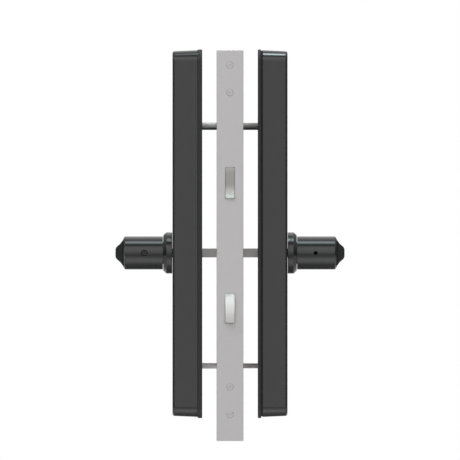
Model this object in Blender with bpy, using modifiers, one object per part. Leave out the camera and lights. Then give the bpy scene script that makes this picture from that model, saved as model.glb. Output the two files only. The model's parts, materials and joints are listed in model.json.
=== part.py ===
"""A keypad smart lock for a 50 mm door: mortise case, faceplate, and a unit with a lever on each side.

+X points out of the door on the keypad side, +Y into the door from its latch edge, and +Z up.
The origin is the middle of the faceplate's front.
"""

from math import atan2, cos, pi, radians, sin, sqrt

import bmesh
import bpy
from mathutils import Matrix, Vector

MM = 0.001
GAP = 0.3 * MM

DOOR_HALF = 25 * MM

PLATE_WIDTH = 24 * MM
PLATE_LENGTH = 350 * MM
PLATE_THICK = 3 * MM
PLATE_SEAT = 1 * MM
SLOT_HALF = 4.9 * MM
BOLT_HALF = 4.2 * MM
WOOD_SCREW_Z = (161.7 * MM, -151.2 * MM)
CASE_SCREW_Z = (136.9 * MM, -126.4 * MM)
WOOD_SCREW_LENGTH = 32 * MM
CASE_SCREW_LENGTH = 10 * MM
SCREW_HEAD = 3.0 * MM
SCREW_SHANK = 2.0 * MM

CASE_FRONT = PLATE_THICK - PLATE_SEAT + GAP
CASE_BACK = 88 * MM
CASE_TOP = 100 * MM
CASE_HALF = 8 * MM
CASE_WALL = 1.5 * MM
CASE_FACE = 2 * MM
TAB_TOP = 143 * MM
TAB_BOTTOM = -133 * MM
TAB_DEPTH = 6.5 * MM
TAB_HALF = 7 * MM
COVER_INSIDE = -6.5 * MM
BODY_INSIDE = -6.2 * MM
BOSS_R = 3.2 * MM
BOSS_HOLE_R = 1.6 * MM
SPRING_POST = ((0.2 * MM, 48.5 * MM, 52 * MM), (7 * MM, 51.5 * MM, 60 * MM))
COVER_SCREWS = ((12 * MM, 94 * MM), (80 * MM, 94 * MM), (80 * MM, -94 * MM), (12 * MM, -94 * MM))

BACKSET = 60 * MM
LEVER_Z = -6.6 * MM

LATCH_TOP = 70 * MM
LATCH_BOTTOM = 42.4 * MM
LATCH_SCOOP_Y = -18.75 * MM
LATCH_SCOOP_Z = 60 * MM
LATCH_SCOOP_R = 21.25 * MM
LATCH_BACK = 22 * MM
TAIL_Z = (52 * MM, 60 * MM)
TAIL_X = (-4 * MM, -0.6 * MM)
YOKE_LOW = 3.4 * MM
YOKE_DEPTH = 4 * MM
SPRING_AXIS = (2.9 * MM, 56 * MM)
SPRING_R = 2.55 * MM
SPRING_WIRE = 0.45 * MM
SPRING_LENGTH = 24.7 * MM
SPRING_TURNS = 7

HOOK_Y = 14 * MM
HOOK_Z = -66 * MM
HOOK_R = 27 * MM
HOOK_HUB = 10.8 * MM
HOOK_SLOT_LOW = HOOK_Z - 4.6 * MM
HOOK_BEAK = 186.4
HOOK_ARM_END = 95
HOOK_PIN_R = 3 * MM
GEAR_MODULE = 1 * MM
SECTOR_TEETH = 32
PINION_TEETH = 12
MESH_ANGLE = radians(-35)
TOOTH_TIP = 0.8 * MM
TOOTH_ROOT = 1.2 * MM
TOOTH_PLAY = 0.2 * MM
PINION_SHAFT_R = 1.5 * MM
BEAK = ((-19.75 * MM, -3.1 * MM), (-14.6 * MM, 3.6 * MM))
GEARBOX_X = (-5.9 * MM, -3.3 * MM)
GEARBOX_Y = (29.6 * MM, 48 * MM)
GEARBOX_BELOW = 8 * MM
GEARBOX_ABOVE = 4.4 * MM
MOTOR_Y = (49 * MM, 74 * MM)
MOTOR_R = 5.7 * MM

UNIT_FRONT = 26 * MM
UNIT_BACK = 94 * MM
UNIT_TOP = 175.4 * MM
UNIT_BOTTOM = -153.8 * MM
UNIT_FACE = 51.6 * MM
UNIT_CORNER = 9.6 * MM
UNIT_EDGE = 2 * MM
UNIT_DRAFT = 0.9 * MM
UNIT_WALL = 1.5 * MM
SHAFT_HOLE = 7 * MM
BASE_MARGIN = 0.6 * MM
BASE_TOP = 176 * MM
BASE_BOTTOM = -154.8 * MM
RIM = 29.3 * MM
INNER_BASE_FACE = 29.0 * MM
OUTER_BASE_FACE = 27.9 * MM
SEAL_FACE = 29.0 * MM

ROSE_R = 18.6 * MM
ROSE_LIP_R = 15.3 * MM
ROSE_SHOULDER = 57 * MM
ROSE_FACE = 60 * MM
ROSE_BORE = 10.3 * MM
NECK_R = 14.9 * MM
NECK_START = 60.3 * MM
NECK_END = 95.6 * MM
NECK_CHAMFER = (1.3 * MM, 1.7 * MM)
JOURNAL_R = 10 * MM
JOURNAL_START = 52.6 * MM
ARM_ROOT = BACKSET - 8.8 * MM
ARM_TIP = 180 * MM
ARM_INSIDE = 84 * MM
ARM_SECTION = (
    (95.6 * MM, 11.65 * MM),
    (96.7 * MM, 10.97 * MM),
    (98.5 * MM, 8.46 * MM),
    (100.3 * MM, 6.85 * MM),
    (102.1 * MM, 5.24 * MM),
    (102.7 * MM, 2.6 * MM),
    (102.9 * MM, 0.0),
)
ARM_TAPER = 0.82
SET_SCREW_X = 76.85 * MM
SET_SCREW_R = 2.3 * MM
RELEASE_R = 1.7 * MM

SPINDLE_HALF = 4 * MM
SPINDLE_HOLE = 6.4 * MM
FOLLOWER_R = 9 * MM
FOLLOWER_TIP = 13 * MM
FOLLOWER_ARM = 4 * MM
YOKE_FRONT = BACKSET + 4.9 * MM

BOLT_Z = (108 * MM, -108 * MM)
BOLT_R = 2.5 * MM
CABLE_Y = 76 * MM
CABLE_Z = 106 * MM
CABLE_R = 2 * MM

PANEL_Y = (32 * MM, 88 * MM)
PANEL_Z = (26 * MM, 164 * MM)
PANEL_THICK = 1.4 * MM
PANEL_SINK = 0.05 * MM
PANEL_CORNER = 4 * MM
BOARD_THICK = 1.6 * MM
KEYPAD_BOARD = ((34 * MM, 30 * MM), (86 * MM, 160 * MM))
KEYPAD_CHIP = ((52 * MM, 60 * MM), (66 * MM, 74 * MM))
KEYPAD_SOCKET_Z = 118 * MM
SOCKET_HALF = (4 * MM, 3 * MM)
CONTROL_FACE = -36 * MM
CONTROL_BOARD = ((32 * MM, 28 * MM), (88 * MM, 113 * MM))
CONTROL_PARTS = (
    ("chip", 1.6 * MM, (50 * MM, 50 * MM), (66 * MM, 66 * MM)),
    ("relay", 8 * MM, (36 * MM, 76 * MM), (48 * MM, 94 * MM)),
    ("socket", 3 * MM, (70 * MM, 84 * MM), (84 * MM, 90 * MM)),
)
TRAY_X = (-43 * MM, -30.5 * MM)
TRAY_Y = (28.9 * MM, 91.1 * MM)
TRAY_Z = (114 * MM, 165 * MM)
TRAY_FLOOR = 3.2 * MM
TRAY_SIDE = 1 * MM
TRAY_END = 1.2 * MM
CELL_X = -41.3 * MM
CELL_R = 7.2 * MM
CELL_LENGTH = 48 * MM
CELL_PITCH = 14.95 * MM
BUTTON_Z = -75 * MM
BUTTON_R = 7 * MM
BUTTON_FLANGE = 1.5 * MM
CABLE_SPAN = (-34.1 * MM, 43.9 * MM)
CABLE_BEND = 29 * MM

FINISHES = {
    "satin_steel": ((0.60, 0.59, 0.59), 0.9, 0.38),
    "bright_steel": ((0.74, 0.73, 0.72), 1.0, 0.25),
    "zinc_sheet": ((0.52, 0.53, 0.54), 1.0, 0.45),
    "black_oxide": ((0.03, 0.028, 0.027), 0.6, 0.45),
    "brass": ((0.72, 0.55, 0.25), 1.0, 0.35),
    "black_coat": ((0.035, 0.036, 0.037), 0.2, 0.38),
    "base_coat": ((0.025, 0.026, 0.027), 0.2, 0.45),
    "black_lacquer": ((0.03, 0.032, 0.033), 0.6, 0.22),
    "rubber": ((0.012, 0.012, 0.012), 0.0, 0.8),
    "panel_glass": ((0.01, 0.01, 0.012), 0.0, 0.08),
    "board": ((0.02, 0.12, 0.05), 0.0, 0.5),
    "tray_plastic": ((0.03, 0.03, 0.03), 0.0, 0.6),
    "cell_jacket": ((0.25, 0.26, 0.28), 0.3, 0.4),
    "cable_jacket": ((0.02, 0.02, 0.02), 0.0, 0.6),
}


def clear_scene():
    for item in list(bpy.data.objects):
        bpy.data.objects.remove(item, do_unlink=True)


def collection(name):
    made = bpy.data.collections.new(name)
    bpy.context.scene.collection.children.link(made)
    return made


clear_scene()
PARTS = collection("keypad_smart_lock")
CUTTERS = collection("cutters")


def add(name, mesh, finish, place=None):
    """Link a mesh as one named sub-part, or as a cutter when it has no finish."""
    item = bpy.data.objects.new(name, mesh)
    if place is not None:
        item.matrix_world = place
    if finish is None:
        CUTTERS.objects.link(item)
        item.hide_render = True
        item.display_type = "WIRE"
        return item
    PARTS.objects.link(item)
    mesh.materials.append(surface(name, finish))
    return item


def surface(name, finish):
    """A Principled material of its own for one piece."""
    colour, metallic, roughness = FINISHES[finish]
    material = bpy.data.materials.new(f"{name}_{finish}")
    material.use_nodes = True
    shader = material.node_tree.nodes["Principled BSDF"]
    shader.inputs["Base Color"].default_value = (*colour, 1)
    shader.inputs["Metallic"].default_value = metallic
    shader.inputs["Roughness"].default_value = roughness
    return material


def to_mesh(bm, name):
    mesh = bpy.data.meshes.new(name)
    bmesh.ops.recalc_face_normals(bm, faces=bm.faces)
    bm.to_mesh(mesh)
    bm.free()
    return mesh


def block(name, low, high, finish, rounding=0.0, segments=2):
    """A box between two corners, with its edges rounded."""
    low, high = Vector(low), Vector(high)
    bm = bmesh.new()
    bmesh.ops.create_cube(bm, size=1)
    bmesh.ops.scale(bm, vec=high - low, verts=bm.verts)
    item = add(name, to_mesh(bm, name), finish, Matrix.Translation((low + high) / 2))
    if rounding:
        bevel(item, rounding, segments)
    return item


def bevel(item, width, segments=2, angle=40):
    change = item.modifiers.new("rounded_edges", "BEVEL")
    change.width = width
    change.segments = segments
    change.limit_method = "ANGLE"
    change.angle_limit = radians(angle)


def along(direction):
    """Turn +Z on to a direction."""
    return Vector((0, 0, 1)).rotation_difference(Vector(direction)).to_matrix().to_4x4()


def rod(name, start, end, radius, finish, steps=24):
    """A round bar from start to end."""
    start, end = Vector(start), Vector(end)
    bm = bmesh.new()
    depth = (end - start).length
    bmesh.ops.create_cone(
        bm, cap_ends=True, segments=steps, radius1=radius, radius2=radius, depth=depth
    )
    mesh = to_mesh(bm, name)
    mesh.shade_smooth()
    mesh.set_sharp_from_angle(angle=radians(35))
    return add(name, mesh, finish, Matrix.Translation((start + end) / 2) @ along(end - start))


def turned(name, profile, place, finish, steps=32):
    """A profile of (radius, height) points, top to bottom, turned about Z and then placed."""
    mesh = bpy.data.meshes.new(name)
    points = [(radius, 0, height) for radius, height in profile]
    loop = profile[0][0] > 0
    count = len(points)
    edges = [(k, k + 1) for k in range(count - 1)] + ([(count - 1, 0)] if loop else [])
    mesh.from_pydata(points, edges, [])
    item = add(name, mesh, finish, place)
    screw = item.modifiers.new("turned", "SCREW")
    screw.steps = steps
    screw.render_steps = steps
    screw.use_merge_vertices = True
    screw.merge_threshold = 0.00001
    return item


def weld(mesh):
    """Merge the points that coincide and turn the faces outwards."""
    bm = bmesh.new()
    bm.from_mesh(mesh)
    bmesh.ops.remove_doubles(bm, verts=bm.verts, dist=0.000001)
    bmesh.ops.recalc_face_normals(bm, faces=bm.faces)
    bm.to_mesh(mesh)
    bm.free()
    mesh.materials.clear()


def slab(name, outline, low, high, finish, plane="YZ"):
    """A flat outline as a filled curve, extruded from low to high across its plane."""
    curve = bpy.data.curves.new(name, "CURVE")
    curve.dimensions = "2D"
    curve.fill_mode = "BOTH"
    curve.extrude = (high - low) / 2
    line = curve.splines.new("POLY")
    line.points.add(len(outline) - 1)
    for point, (u, v) in zip(line.points, outline):
        point.co = (u, v, 0, 1)
    line.use_cyclic_u = True
    middle = (low + high) / 2
    if plane == "YZ":
        turn = Matrix(((0, 0, 1, middle), (1, 0, 0, 0), (0, 1, 0, 0), (0, 0, 0, 1)))
    else:
        turn = Matrix(((1, 0, 0, 0), (0, 0, -1, middle), (0, 1, 0, 0), (0, 0, 0, 1)))
    guide = bpy.data.objects.new(f"{name}_curve", curve)
    CUTTERS.objects.link(guide)
    bpy.context.view_layer.update()
    shape = bpy.data.meshes.new_from_object(
        guide.evaluated_get(bpy.context.evaluated_depsgraph_get())
    )
    shape.name = name
    weld(shape)
    bpy.data.objects.remove(guide)
    return add(name, shape, finish, turn)


def boolean(item, others, operation):
    for other in others:
        change = item.modifiers.new(other.name, "BOOLEAN")
        change.operation = operation
        change.object = other
        change.solver = "EXACT"


def cut(item, *others):
    boolean(item, others, "DIFFERENCE")


def join(item, *others):
    boolean(item, others, "UNION")


def arc(centre, radius, start, end, steps):
    """Points on an arc, angles in degrees."""
    return [
        (
            centre[0] + radius * cos(radians(start + (end - start) * k / steps)),
            centre[1] + radius * sin(radians(start + (end - start) * k / steps)),
        )
        for k in range(steps + 1)
    ]


def rounded_outline(low, high, radius, steps=6):
    """A rectangle in Y and Z with round corners."""
    (y0, z0), (y1, z1) = low, high
    points = []
    for centre, start in (
        ((y1 - radius, z1 - radius), 0),
        ((y0 + radius, z1 - radius), 90),
        ((y0 + radius, z0 + radius), 180),
        ((y1 - radius, z0 + radius), 270),
    ):
        points += arc(centre, radius, start, start + 90, steps)
    return points


def axis_point(name, place):
    """An empty on a joint's axis, the parent of what turns or slides there."""
    pivot = bpy.data.objects.new(name, None)
    pivot.location = place
    pivot.empty_display_size = 10 * MM
    PARTS.objects.link(pivot)
    return pivot


def carry(pivot, *items):
    for item in items:
        item.parent = pivot
        item.matrix_parent_inverse = Matrix.Translation(-pivot.location)


# Door edge: faceplate and its screws


def faceplate():
    half = PLATE_WIDTH / 2
    plate = block(
        "faceplate", (-half, 0, -PLATE_LENGTH / 2), (half, PLATE_THICK, PLATE_LENGTH / 2), "satin_steel"
    )
    seat = block(
        "faceplate_seat",
        (-CASE_HALF - GAP, PLATE_THICK - PLATE_SEAT, TAB_BOTTOM - GAP),
        (CASE_HALF + GAP, PLATE_THICK + 1 * MM, TAB_TOP + GAP),
        None,
    )
    cut(plate, seat, latch_slot("plate_latch_slot", -1 * MM, 4 * MM))
    cut(plate, hook_slot("plate_hook_slot", -1 * MM, 4 * MM))
    for k, z in enumerate((*WOOD_SCREW_Z, *CASE_SCREW_Z)):
        sink = turned(
            f"countersink_{k + 1}",
            [
                (0, 1 * MM),
                (SCREW_HEAD + GAP, 1 * MM),
                (SCREW_HEAD + GAP, -0.6 * MM),
                (SCREW_SHANK + GAP, -1.9 * MM),
                (SCREW_SHANK + GAP, -5 * MM),
                (0, -5 * MM),
            ],
            Matrix.Translation((0, 0, z)) @ along((0, -1, 0)),
            None,
            20,
        )
        cut(plate, sink)


def latch_slot(name, front, back):
    return block(
        name,
        (-SLOT_HALF, front, LATCH_BOTTOM - 0.4 * MM),
        (SLOT_HALF, back, LATCH_TOP + GAP),
        None,
    )


def hook_slot(name, front, back, low=HOOK_SLOT_LOW):
    """The slot's top follows the hook's round back, so no gap shows above it."""
    radius = HOOK_R + 0.4 * MM
    steps = 5
    top = [
        (y, HOOK_Z + sqrt(radius**2 - (y - HOOK_Y) ** 2))
        for y in (back + (front - back) * k / steps for k in range(steps + 1))
    ]
    return slab(name, [(front, low), (back, low), *top], -SLOT_HALF, SLOT_HALF, None)


def face_screw(name, z, length):
    """A flush countersunk screw with a shallow ring and a cross recess."""
    screw = turned(
        name,
        [
            (0, -0.25 * MM),
            (SCREW_HEAD - 0.8 * MM, -0.25 * MM),
            (SCREW_HEAD - 0.5 * MM, -0.05 * MM),
            (SCREW_HEAD, -0.05 * MM),
            (SCREW_HEAD, -0.5 * MM),
            (SCREW_SHANK, -1.7 * MM),
            (SCREW_SHANK, -length + 2 * MM),
            (0.4 * MM, -length),
            (0, -length),
        ],
        Matrix.Translation((0, 0, z)) @ along((0, -1, 0)),
        "satin_steel",
        20,
    )
    for k, size in enumerate(((1.8 * MM, 0.35 * MM), (0.35 * MM, 1.8 * MM))):
        wing = block(
            f"{name}_recess_{k + 1}",
            (-size[0], -1 * MM, z - size[1]),
            (size[0], 1.3 * MM, z + size[1]),
            None,
        )
        cut(screw, wing)


# Mortise case


def case_body():
    """A tray of sheet metal, open on the inner side, with a tab above and below for the faceplate."""
    body = block(
        "case_body", (BODY_INSIDE, CASE_FRONT, -CASE_TOP), (CASE_HALF, CASE_BACK, CASE_TOP), "zinc_sheet"
    )
    hollow = block(
        "case_hollow",
        (-CASE_HALF, CASE_FRONT + CASE_FACE, -CASE_TOP + CASE_WALL),
        (CASE_HALF - CASE_WALL, CASE_BACK - CASE_WALL, CASE_TOP - CASE_WALL),
        None,
    )
    cut(body, hollow)
    overlap = CASE_TOP - 1 * MM
    for name, low, high in (("tab_above", overlap, TAB_TOP), ("tab_below", TAB_BOTTOM, -overlap)):
        tab = block(name, (-TAB_HALF + 1 * MM, CASE_FRONT, low), (TAB_HALF, TAB_DEPTH, high), None)
        join(body, tab)
    join(body, block("spring_post", *SPRING_POST, None))
    for k, (y, z) in enumerate(COVER_SCREWS):
        join(body, rod(f"boss_{k + 1}", (BODY_INSIDE, y, z), (7 * MM, y, z), BOSS_R, None, steps=16))
        cut(body, rod(f"boss_hole_{k + 1}", (-9 * MM, y, z), (5 * MM, y, z), BOSS_HOLE_R, None, steps=12))
    cut(
        body,
        latch_slot("case_latch_slot", 1 * MM, 5 * MM),
        hook_slot("case_hook_slot", 1 * MM, 5 * MM, HOOK_SLOT_LOW - 2 * MM),
    )
    cut(body, spindle_hole("case_spindle_hole", 5 * MM, 9 * MM, SPINDLE_HOLE))
    for k, z in enumerate(CASE_SCREW_Z):
        hole = rod(f"tab_hole_{k + 1}", (0, 1 * MM, z), (0, 8 * MM, z), SCREW_SHANK + GAP, None, steps=16)
        cut(body, hole)


def spindle_hole(name, low, high, radius):
    return rod(name, (low, BACKSET, LEVER_Z), (high, BACKSET, LEVER_Z), radius, None)


def case_cover():
    cover = block(
        "case_cover", (-CASE_HALF, CASE_FRONT, -CASE_TOP), (COVER_INSIDE, CASE_BACK, CASE_TOP), "zinc_sheet"
    )
    cut(cover, spindle_hole("cover_spindle_hole", -9 * MM, -5 * MM, SPINDLE_HOLE))
    for k, (y, z) in enumerate(COVER_SCREWS):
        hole = rod(f"cover_hole_{k + 1}", (-9 * MM, y, z), (-5 * MM, y, z), BOSS_HOLE_R, None, steps=12)
        cut(cover, hole)
        cover_screw(f"cover_screw_{k + 1}", y, z)


def cover_screw(name, y, z):
    screw = turned(
        name,
        [
            (0, 1.7 * MM),
            (2.2 * MM, 1.6 * MM),
            (2.8 * MM, 1.2 * MM),
            (2.8 * MM, GAP),
            (1.3 * MM, GAP),
            (1.3 * MM, -8 * MM),
            (0, -8 * MM),
        ],
        Matrix.Translation((-CASE_HALF, y, z)) @ along((-1, 0, 0)),
        "bright_steel",
        16,
    )
    slot = block(f"{name}_slot", (-12 * MM, y - 3 * MM, z - GAP), (-9.1 * MM, y + 3 * MM, z + GAP), None)
    cut(screw, slot)


def latch_bolt():
    """The nose is scooped: flush at the top, hollow in the middle, and out again at the lower tip."""
    top = atan2(LATCH_TOP - LATCH_SCOOP_Z, sqrt(LATCH_SCOOP_R**2 - (LATCH_TOP - LATCH_SCOOP_Z) ** 2))
    low_side = LATCH_SCOOP_Z - LATCH_BOTTOM
    bottom = -atan2(low_side, sqrt(LATCH_SCOOP_R**2 - low_side**2))
    scoop = arc((LATCH_SCOOP_Y, LATCH_SCOOP_Z), LATCH_SCOOP_R, top * 180 / pi, bottom * 180 / pi, 14)
    outline = [(LATCH_BACK, LATCH_BOTTOM), (LATCH_BACK, LATCH_TOP), *scoop]
    bolt = slab("latch_bolt", outline, -BOLT_HALF, BOLT_HALF, "bright_steel")
    tail = slab(
        "latch_tail",
        [
            (LATCH_BACK - 4 * MM, TAIL_Z[0]),
            (YOKE_FRONT, TAIL_Z[0]),
            (YOKE_FRONT, YOKE_LOW),
            (YOKE_FRONT + YOKE_DEPTH, YOKE_LOW),
            (YOKE_FRONT + YOKE_DEPTH, TAIL_Z[1]),
            (LATCH_BACK - 4 * MM, TAIL_Z[1]),
        ],
        *TAIL_X,
        None,
    )
    join(bolt, tail)
    return bolt


def latch_spring():
    """A compression coil behind the latch, its turns worked out along Y."""
    steps = 10
    start = LATCH_BACK + 2 * SPRING_WIRE
    count = SPRING_TURNS * steps
    curve = bpy.data.curves.new("latch_spring", "CURVE")
    curve.dimensions = "3D"
    curve.bevel_depth = SPRING_WIRE
    curve.bevel_resolution = 1
    curve.use_fill_caps = True
    line = curve.splines.new("POLY")
    line.points.add(count)
    for k, point in enumerate(line.points):
        turn = 2 * pi * k / steps
        along_y = start + SPRING_LENGTH * k / count
        across, up = SPRING_AXIS
        point.co = (across + SPRING_R * cos(turn), along_y, up + SPRING_R * sin(turn), 1)
    item = bpy.data.objects.new("latch_spring", curve)
    CUTTERS.objects.link(item)
    bpy.context.view_layer.update()
    mesh = bpy.data.meshes.new_from_object(
        item.evaluated_get(bpy.context.evaluated_depsgraph_get())
    )
    bpy.data.objects.remove(item)
    weld(mesh)
    return add("latch_spring", mesh, "bright_steel")


def tooth(centre, pitch_radius, angle, root_half):
    """The four corners of one straight-sided tooth, in order of rising angle."""
    tip_half = GEAR_MODULE * pi / 4 - TOOTH_PLAY - TOOTH_TIP * 0.364
    corners = []
    for radius, half in (
        (pitch_radius - TOOTH_ROOT, -root_half),
        (pitch_radius + TOOTH_TIP, -tip_half),
        (pitch_radius + TOOTH_TIP, tip_half),
        (pitch_radius - TOOTH_ROOT, root_half),
    ):
        turn = angle + half / radius
        corners.append((centre[0] + radius * cos(turn), centre[1] + radius * sin(turn)))
    return corners


def hook_bolt():
    """A round-backed hook on a hub, with a toothed sector behind the pivot."""
    centre = (HOOK_Y, HOOK_Z)
    pitch_radius = GEAR_MODULE * SECTOR_TEETH / 2
    spacing = 2 * pi / SECTOR_TEETH
    teeth = []
    for k in range(-1, 8):
        teeth += tooth(centre, pitch_radius, MESH_ANGLE + k * spacing, 1.02 * MM)
    beak = [(HOOK_Y + y, HOOK_Z + z) for y, z in BEAK]
    outline = [
        *teeth,
        *arc(centre, HOOK_R, HOOK_ARM_END, HOOK_BEAK, 18),
        *beak,
        *arc(centre, HOOK_HUB, 170, 306, 14),
    ]
    hook = slab("hook_bolt", outline, -BOLT_HALF, BOLT_HALF, "bright_steel")
    bore = rod("hook_bore", (-9 * MM, *centre), (9 * MM, *centre), HOOK_PIN_R + GAP, None)
    cut(hook, bore)
    rod("hook_pivot_pin", (-5.9 * MM, *centre), (6.2 * MM, *centre), HOOK_PIN_R, "bright_steel")
    return hook


def pinion_centre():
    reach = GEAR_MODULE * (SECTOR_TEETH + PINION_TEETH) / 2
    return (HOOK_Y + reach * cos(MESH_ANGLE), HOOK_Z + reach * sin(MESH_ANGLE))


def drive_pinion():
    centre = pinion_centre()
    spacing = 2 * pi / PINION_TEETH
    outline = []
    for k in range(PINION_TEETH):
        angle = MESH_ANGLE + pi + (k + 0.5) * spacing
        outline += tooth(centre, GEAR_MODULE * PINION_TEETH / 2, angle, 0.8 * MM)
    pinion = slab("drive_pinion", outline, -3 * MM, 3 * MM, "brass")
    shaft = rod("pinion_shaft", (-5.6 * MM, *centre), (6.2 * MM, *centre), PINION_SHAFT_R, None, steps=16)
    join(pinion, shaft)
    return pinion


def hook_motor():
    """A flat gearbox beside the pinion, with the motor's barrel behind it."""
    y, z = pinion_centre()
    low, high = z - GEARBOX_BELOW, z + GEARBOX_ABOVE
    middle = -0.1 * MM
    motor = block(
        "hook_gear_motor",
        (GEARBOX_X[0], GEARBOX_Y[0], low),
        (GEARBOX_X[1], GEARBOX_Y[1], high),
        "zinc_sheet",
    )
    join(
        motor,
        block("gearbox_end", (GEARBOX_X[0], 42 * MM, low), (5.6 * MM, 50 * MM, high), None),
        rod("motor_barrel", (middle, MOTOR_Y[0], z), (middle, MOTOR_Y[1], z), MOTOR_R, None),
        rod("motor_boss", (middle, 73 * MM, z), (middle, 76 * MM, z), 2.2 * MM, None, steps=12),
    )
    bore = rod("gearbox_bore", (-9 * MM, y, z), (-2 * MM, y, z), PINION_SHAFT_R + GAP, None, steps=16)
    cut(motor, bore)


def follower(name, low, high):
    """A round hub with a square hole and one arm that points up."""
    lean = 26
    arm = [
        (BACKSET + FOLLOWER_ARM, LEVER_Z + FOLLOWER_TIP),
        (BACKSET - FOLLOWER_ARM, LEVER_Z + FOLLOWER_TIP),
    ]
    hub = arc((BACKSET, LEVER_Z), FOLLOWER_R, 90 + lean, 450 - lean, 24)
    item = slab(name, [*arm, *hub], low, high, "zinc_sheet")
    half = SPINDLE_HALF + GAP
    hole = block(
        f"{name}_square",
        (low - 1 * MM, BACKSET - half, LEVER_Z - half),
        (high + 1 * MM, BACKSET + half, LEVER_Z + half),
        None,
    )
    cut(item, hole)
    return item


# The unit on each side of the door; side is +1 on the keypad side and -1 inside


def span(side, near, far):
    """The lower and higher X of a piece between two distances from the door's middle."""
    return (near, far) if side > 0 else (-far, -near)


def base_plate(name, side, face):
    low, high = span(side, DOOR_HALF, face)
    margin = BASE_MARGIN
    corner = UNIT_CORNER + margin
    outline = rounded_outline((UNIT_FRONT - margin, BASE_BOTTOM), (UNIT_BACK + margin, BASE_TOP), corner)
    plate = slab(name, outline, low, high, "base_coat")
    bevel(plate, 0.5 * MM, 1, 60)
    holes = [(BACKSET, LEVER_Z, SHAFT_HOLE), (CABLE_Y, CABLE_Z, CABLE_R + 1 * MM)]
    holes += [(BACKSET, z, BOLT_R + GAP) for z in BOLT_Z]
    for k, (y, z, radius) in enumerate(holes):
        start, end = (low - 1 * MM, y, z), (high + 1 * MM, y, z)
        cut(plate, rod(f"{name}_hole_{k + 1}", start, end, radius, None, steps=20))


def housing(name, side):
    """A drafted shell with round corners, open towards the door."""
    bm = bmesh.new()
    bmesh.ops.create_cube(bm, size=1)
    for vert in bm.verts:
        front = vert.co.x > 0
        inset = UNIT_DRAFT if front else 0
        y = UNIT_FRONT + inset if vert.co.y < 0 else UNIT_BACK - inset
        z = UNIT_BOTTOM + inset if vert.co.z < 0 else UNIT_TOP - inset
        vert.co = (side * (UNIT_FACE if front else RIM), y, z)
    bmesh.ops.recalc_face_normals(bm, faces=bm.faces)
    length = (UNIT_FACE - RIM) * 0.9
    corners = [edge for edge in bm.edges if abs(edge.verts[0].co.x - edge.verts[1].co.x) > length]
    bmesh.ops.bevel(bm, geom=corners, offset=UNIT_CORNER, segments=7, profile=0.5, affect="EDGES")
    face_edges = [edge for edge in bm.edges if all(abs(v.co.x) > UNIT_FACE - 1e-6 for v in edge.verts)]
    bmesh.ops.bevel(bm, geom=face_edges, offset=UNIT_EDGE, segments=3, profile=0.5, affect="EDGES")
    bmesh.ops.recalc_face_normals(bm, faces=bm.faces)
    back = [face for face in bm.faces if all(abs(v.co.x) < RIM + 1e-6 for v in face.verts)]
    bmesh.ops.delete(bm, geom=back, context="FACES")
    mesh = bpy.data.meshes.new(name)
    bm.to_mesh(mesh)
    bm.free()
    mesh.shade_smooth()
    mesh.set_sharp_from_angle(angle=radians(35))
    shell = add(name, mesh, "black_coat")
    wall = shell.modifiers.new("wall", "SOLIDIFY")
    wall.thickness = UNIT_WALL
    wall.offset = -1
    wall.use_even_offset = True
    low, high = span(side, UNIT_FACE - 5 * MM, UNIT_FACE + 5 * MM)
    cut(shell, spindle_hole(f"{name}_spindle_hole", low, high, SHAFT_HOLE))
    return shell


def window(shell, side, low, high):
    """An opening through the housing's front wall, with a gap round what fills it."""
    near, far = span(side, UNIT_FACE - 5 * MM, UNIT_FACE + 5 * MM)
    cutter = slab(
        f"{shell.name}_window",
        rounded_outline((low[0] - GAP, low[1] - GAP), (high[0] + GAP, high[1] + GAP), PANEL_CORNER + GAP, 4),
        near,
        far,
        None,
    )
    cut(shell, cutter)


def panel(name, side, low, high, finish):
    face = UNIT_FACE - PANEL_SINK
    near, far = span(side, face - PANEL_THICK, face)
    return slab(name, rounded_outline(low, high, PANEL_CORNER, 4), near, far, finish)


def rose(name, side):
    """A collar with a chamfered front; the lever's journal turns in its bore."""
    profile = [
        (ROSE_LIP_R, ROSE_FACE),
        (ROSE_R, ROSE_SHOULDER),
        (ROSE_R, UNIT_FACE + GAP),
        (ROSE_BORE, UNIT_FACE + GAP),
        (ROSE_BORE, ROSE_FACE),
    ]
    place = Matrix.Translation((0, BACKSET, LEVER_Z)) @ along((side, 0, 0))
    return turned(name, profile, place, "black_lacquer", 40)


def lever(name, side):
    """A round neck on a journal, and an arm with hollow-bevelled flanks and a domed face."""
    chamfer_along, chamfer_in = NECK_CHAMFER
    profile = [
        (0, NECK_END),
        (NECK_R - chamfer_in, NECK_END),
        (NECK_R, NECK_END - chamfer_along),
        (NECK_R, NECK_START),
        (JOURNAL_R, NECK_START),
        (JOURNAL_R, JOURNAL_START),
        (0, JOURNAL_START),
    ]
    place = Matrix.Translation((0, BACKSET, LEVER_Z)) @ along((side, 0, 0))
    neck = turned(name, profile, place, "black_lacquer", 40)
    join(neck, arm(f"{name}_arm", side))
    half = SPINDLE_HALF + GAP
    low, high = span(side, JOURNAL_START - 1 * MM, 88 * MM)
    square = block(
        f"{name}_square", (low, BACKSET - half, LEVER_Z - half), (high, BACKSET + half, LEVER_Z + half), None
    )
    cut(neck, square)
    return neck


def arm(name, side):
    """The arm's section loses height towards its end."""
    upper = list(ARM_SECTION)
    lower = [(x, -height) for x, height in reversed(ARM_SECTION[:-1])]
    back = [(ARM_INSIDE + 1.5 * MM, -11.65 * MM), (ARM_INSIDE, -9.6 * MM)]
    back += [(x, -z) for x, z in reversed(back)]
    outline = [(side * x, LEVER_Z + z) for x, z in (*upper, *lower, *back)]
    item = slab(name, outline, ARM_ROOT, ARM_TIP, None, "XZ")
    for vert in item.data.vertices:
        world = item.matrix_world @ vert.co
        if world.y > (ARM_ROOT + ARM_TIP) / 2:
            vert.co.y = LEVER_Z + (vert.co.y - LEVER_Z) * ARM_TAPER
    bevel(item, 0.8 * MM, 2, 60)
    return item


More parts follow.
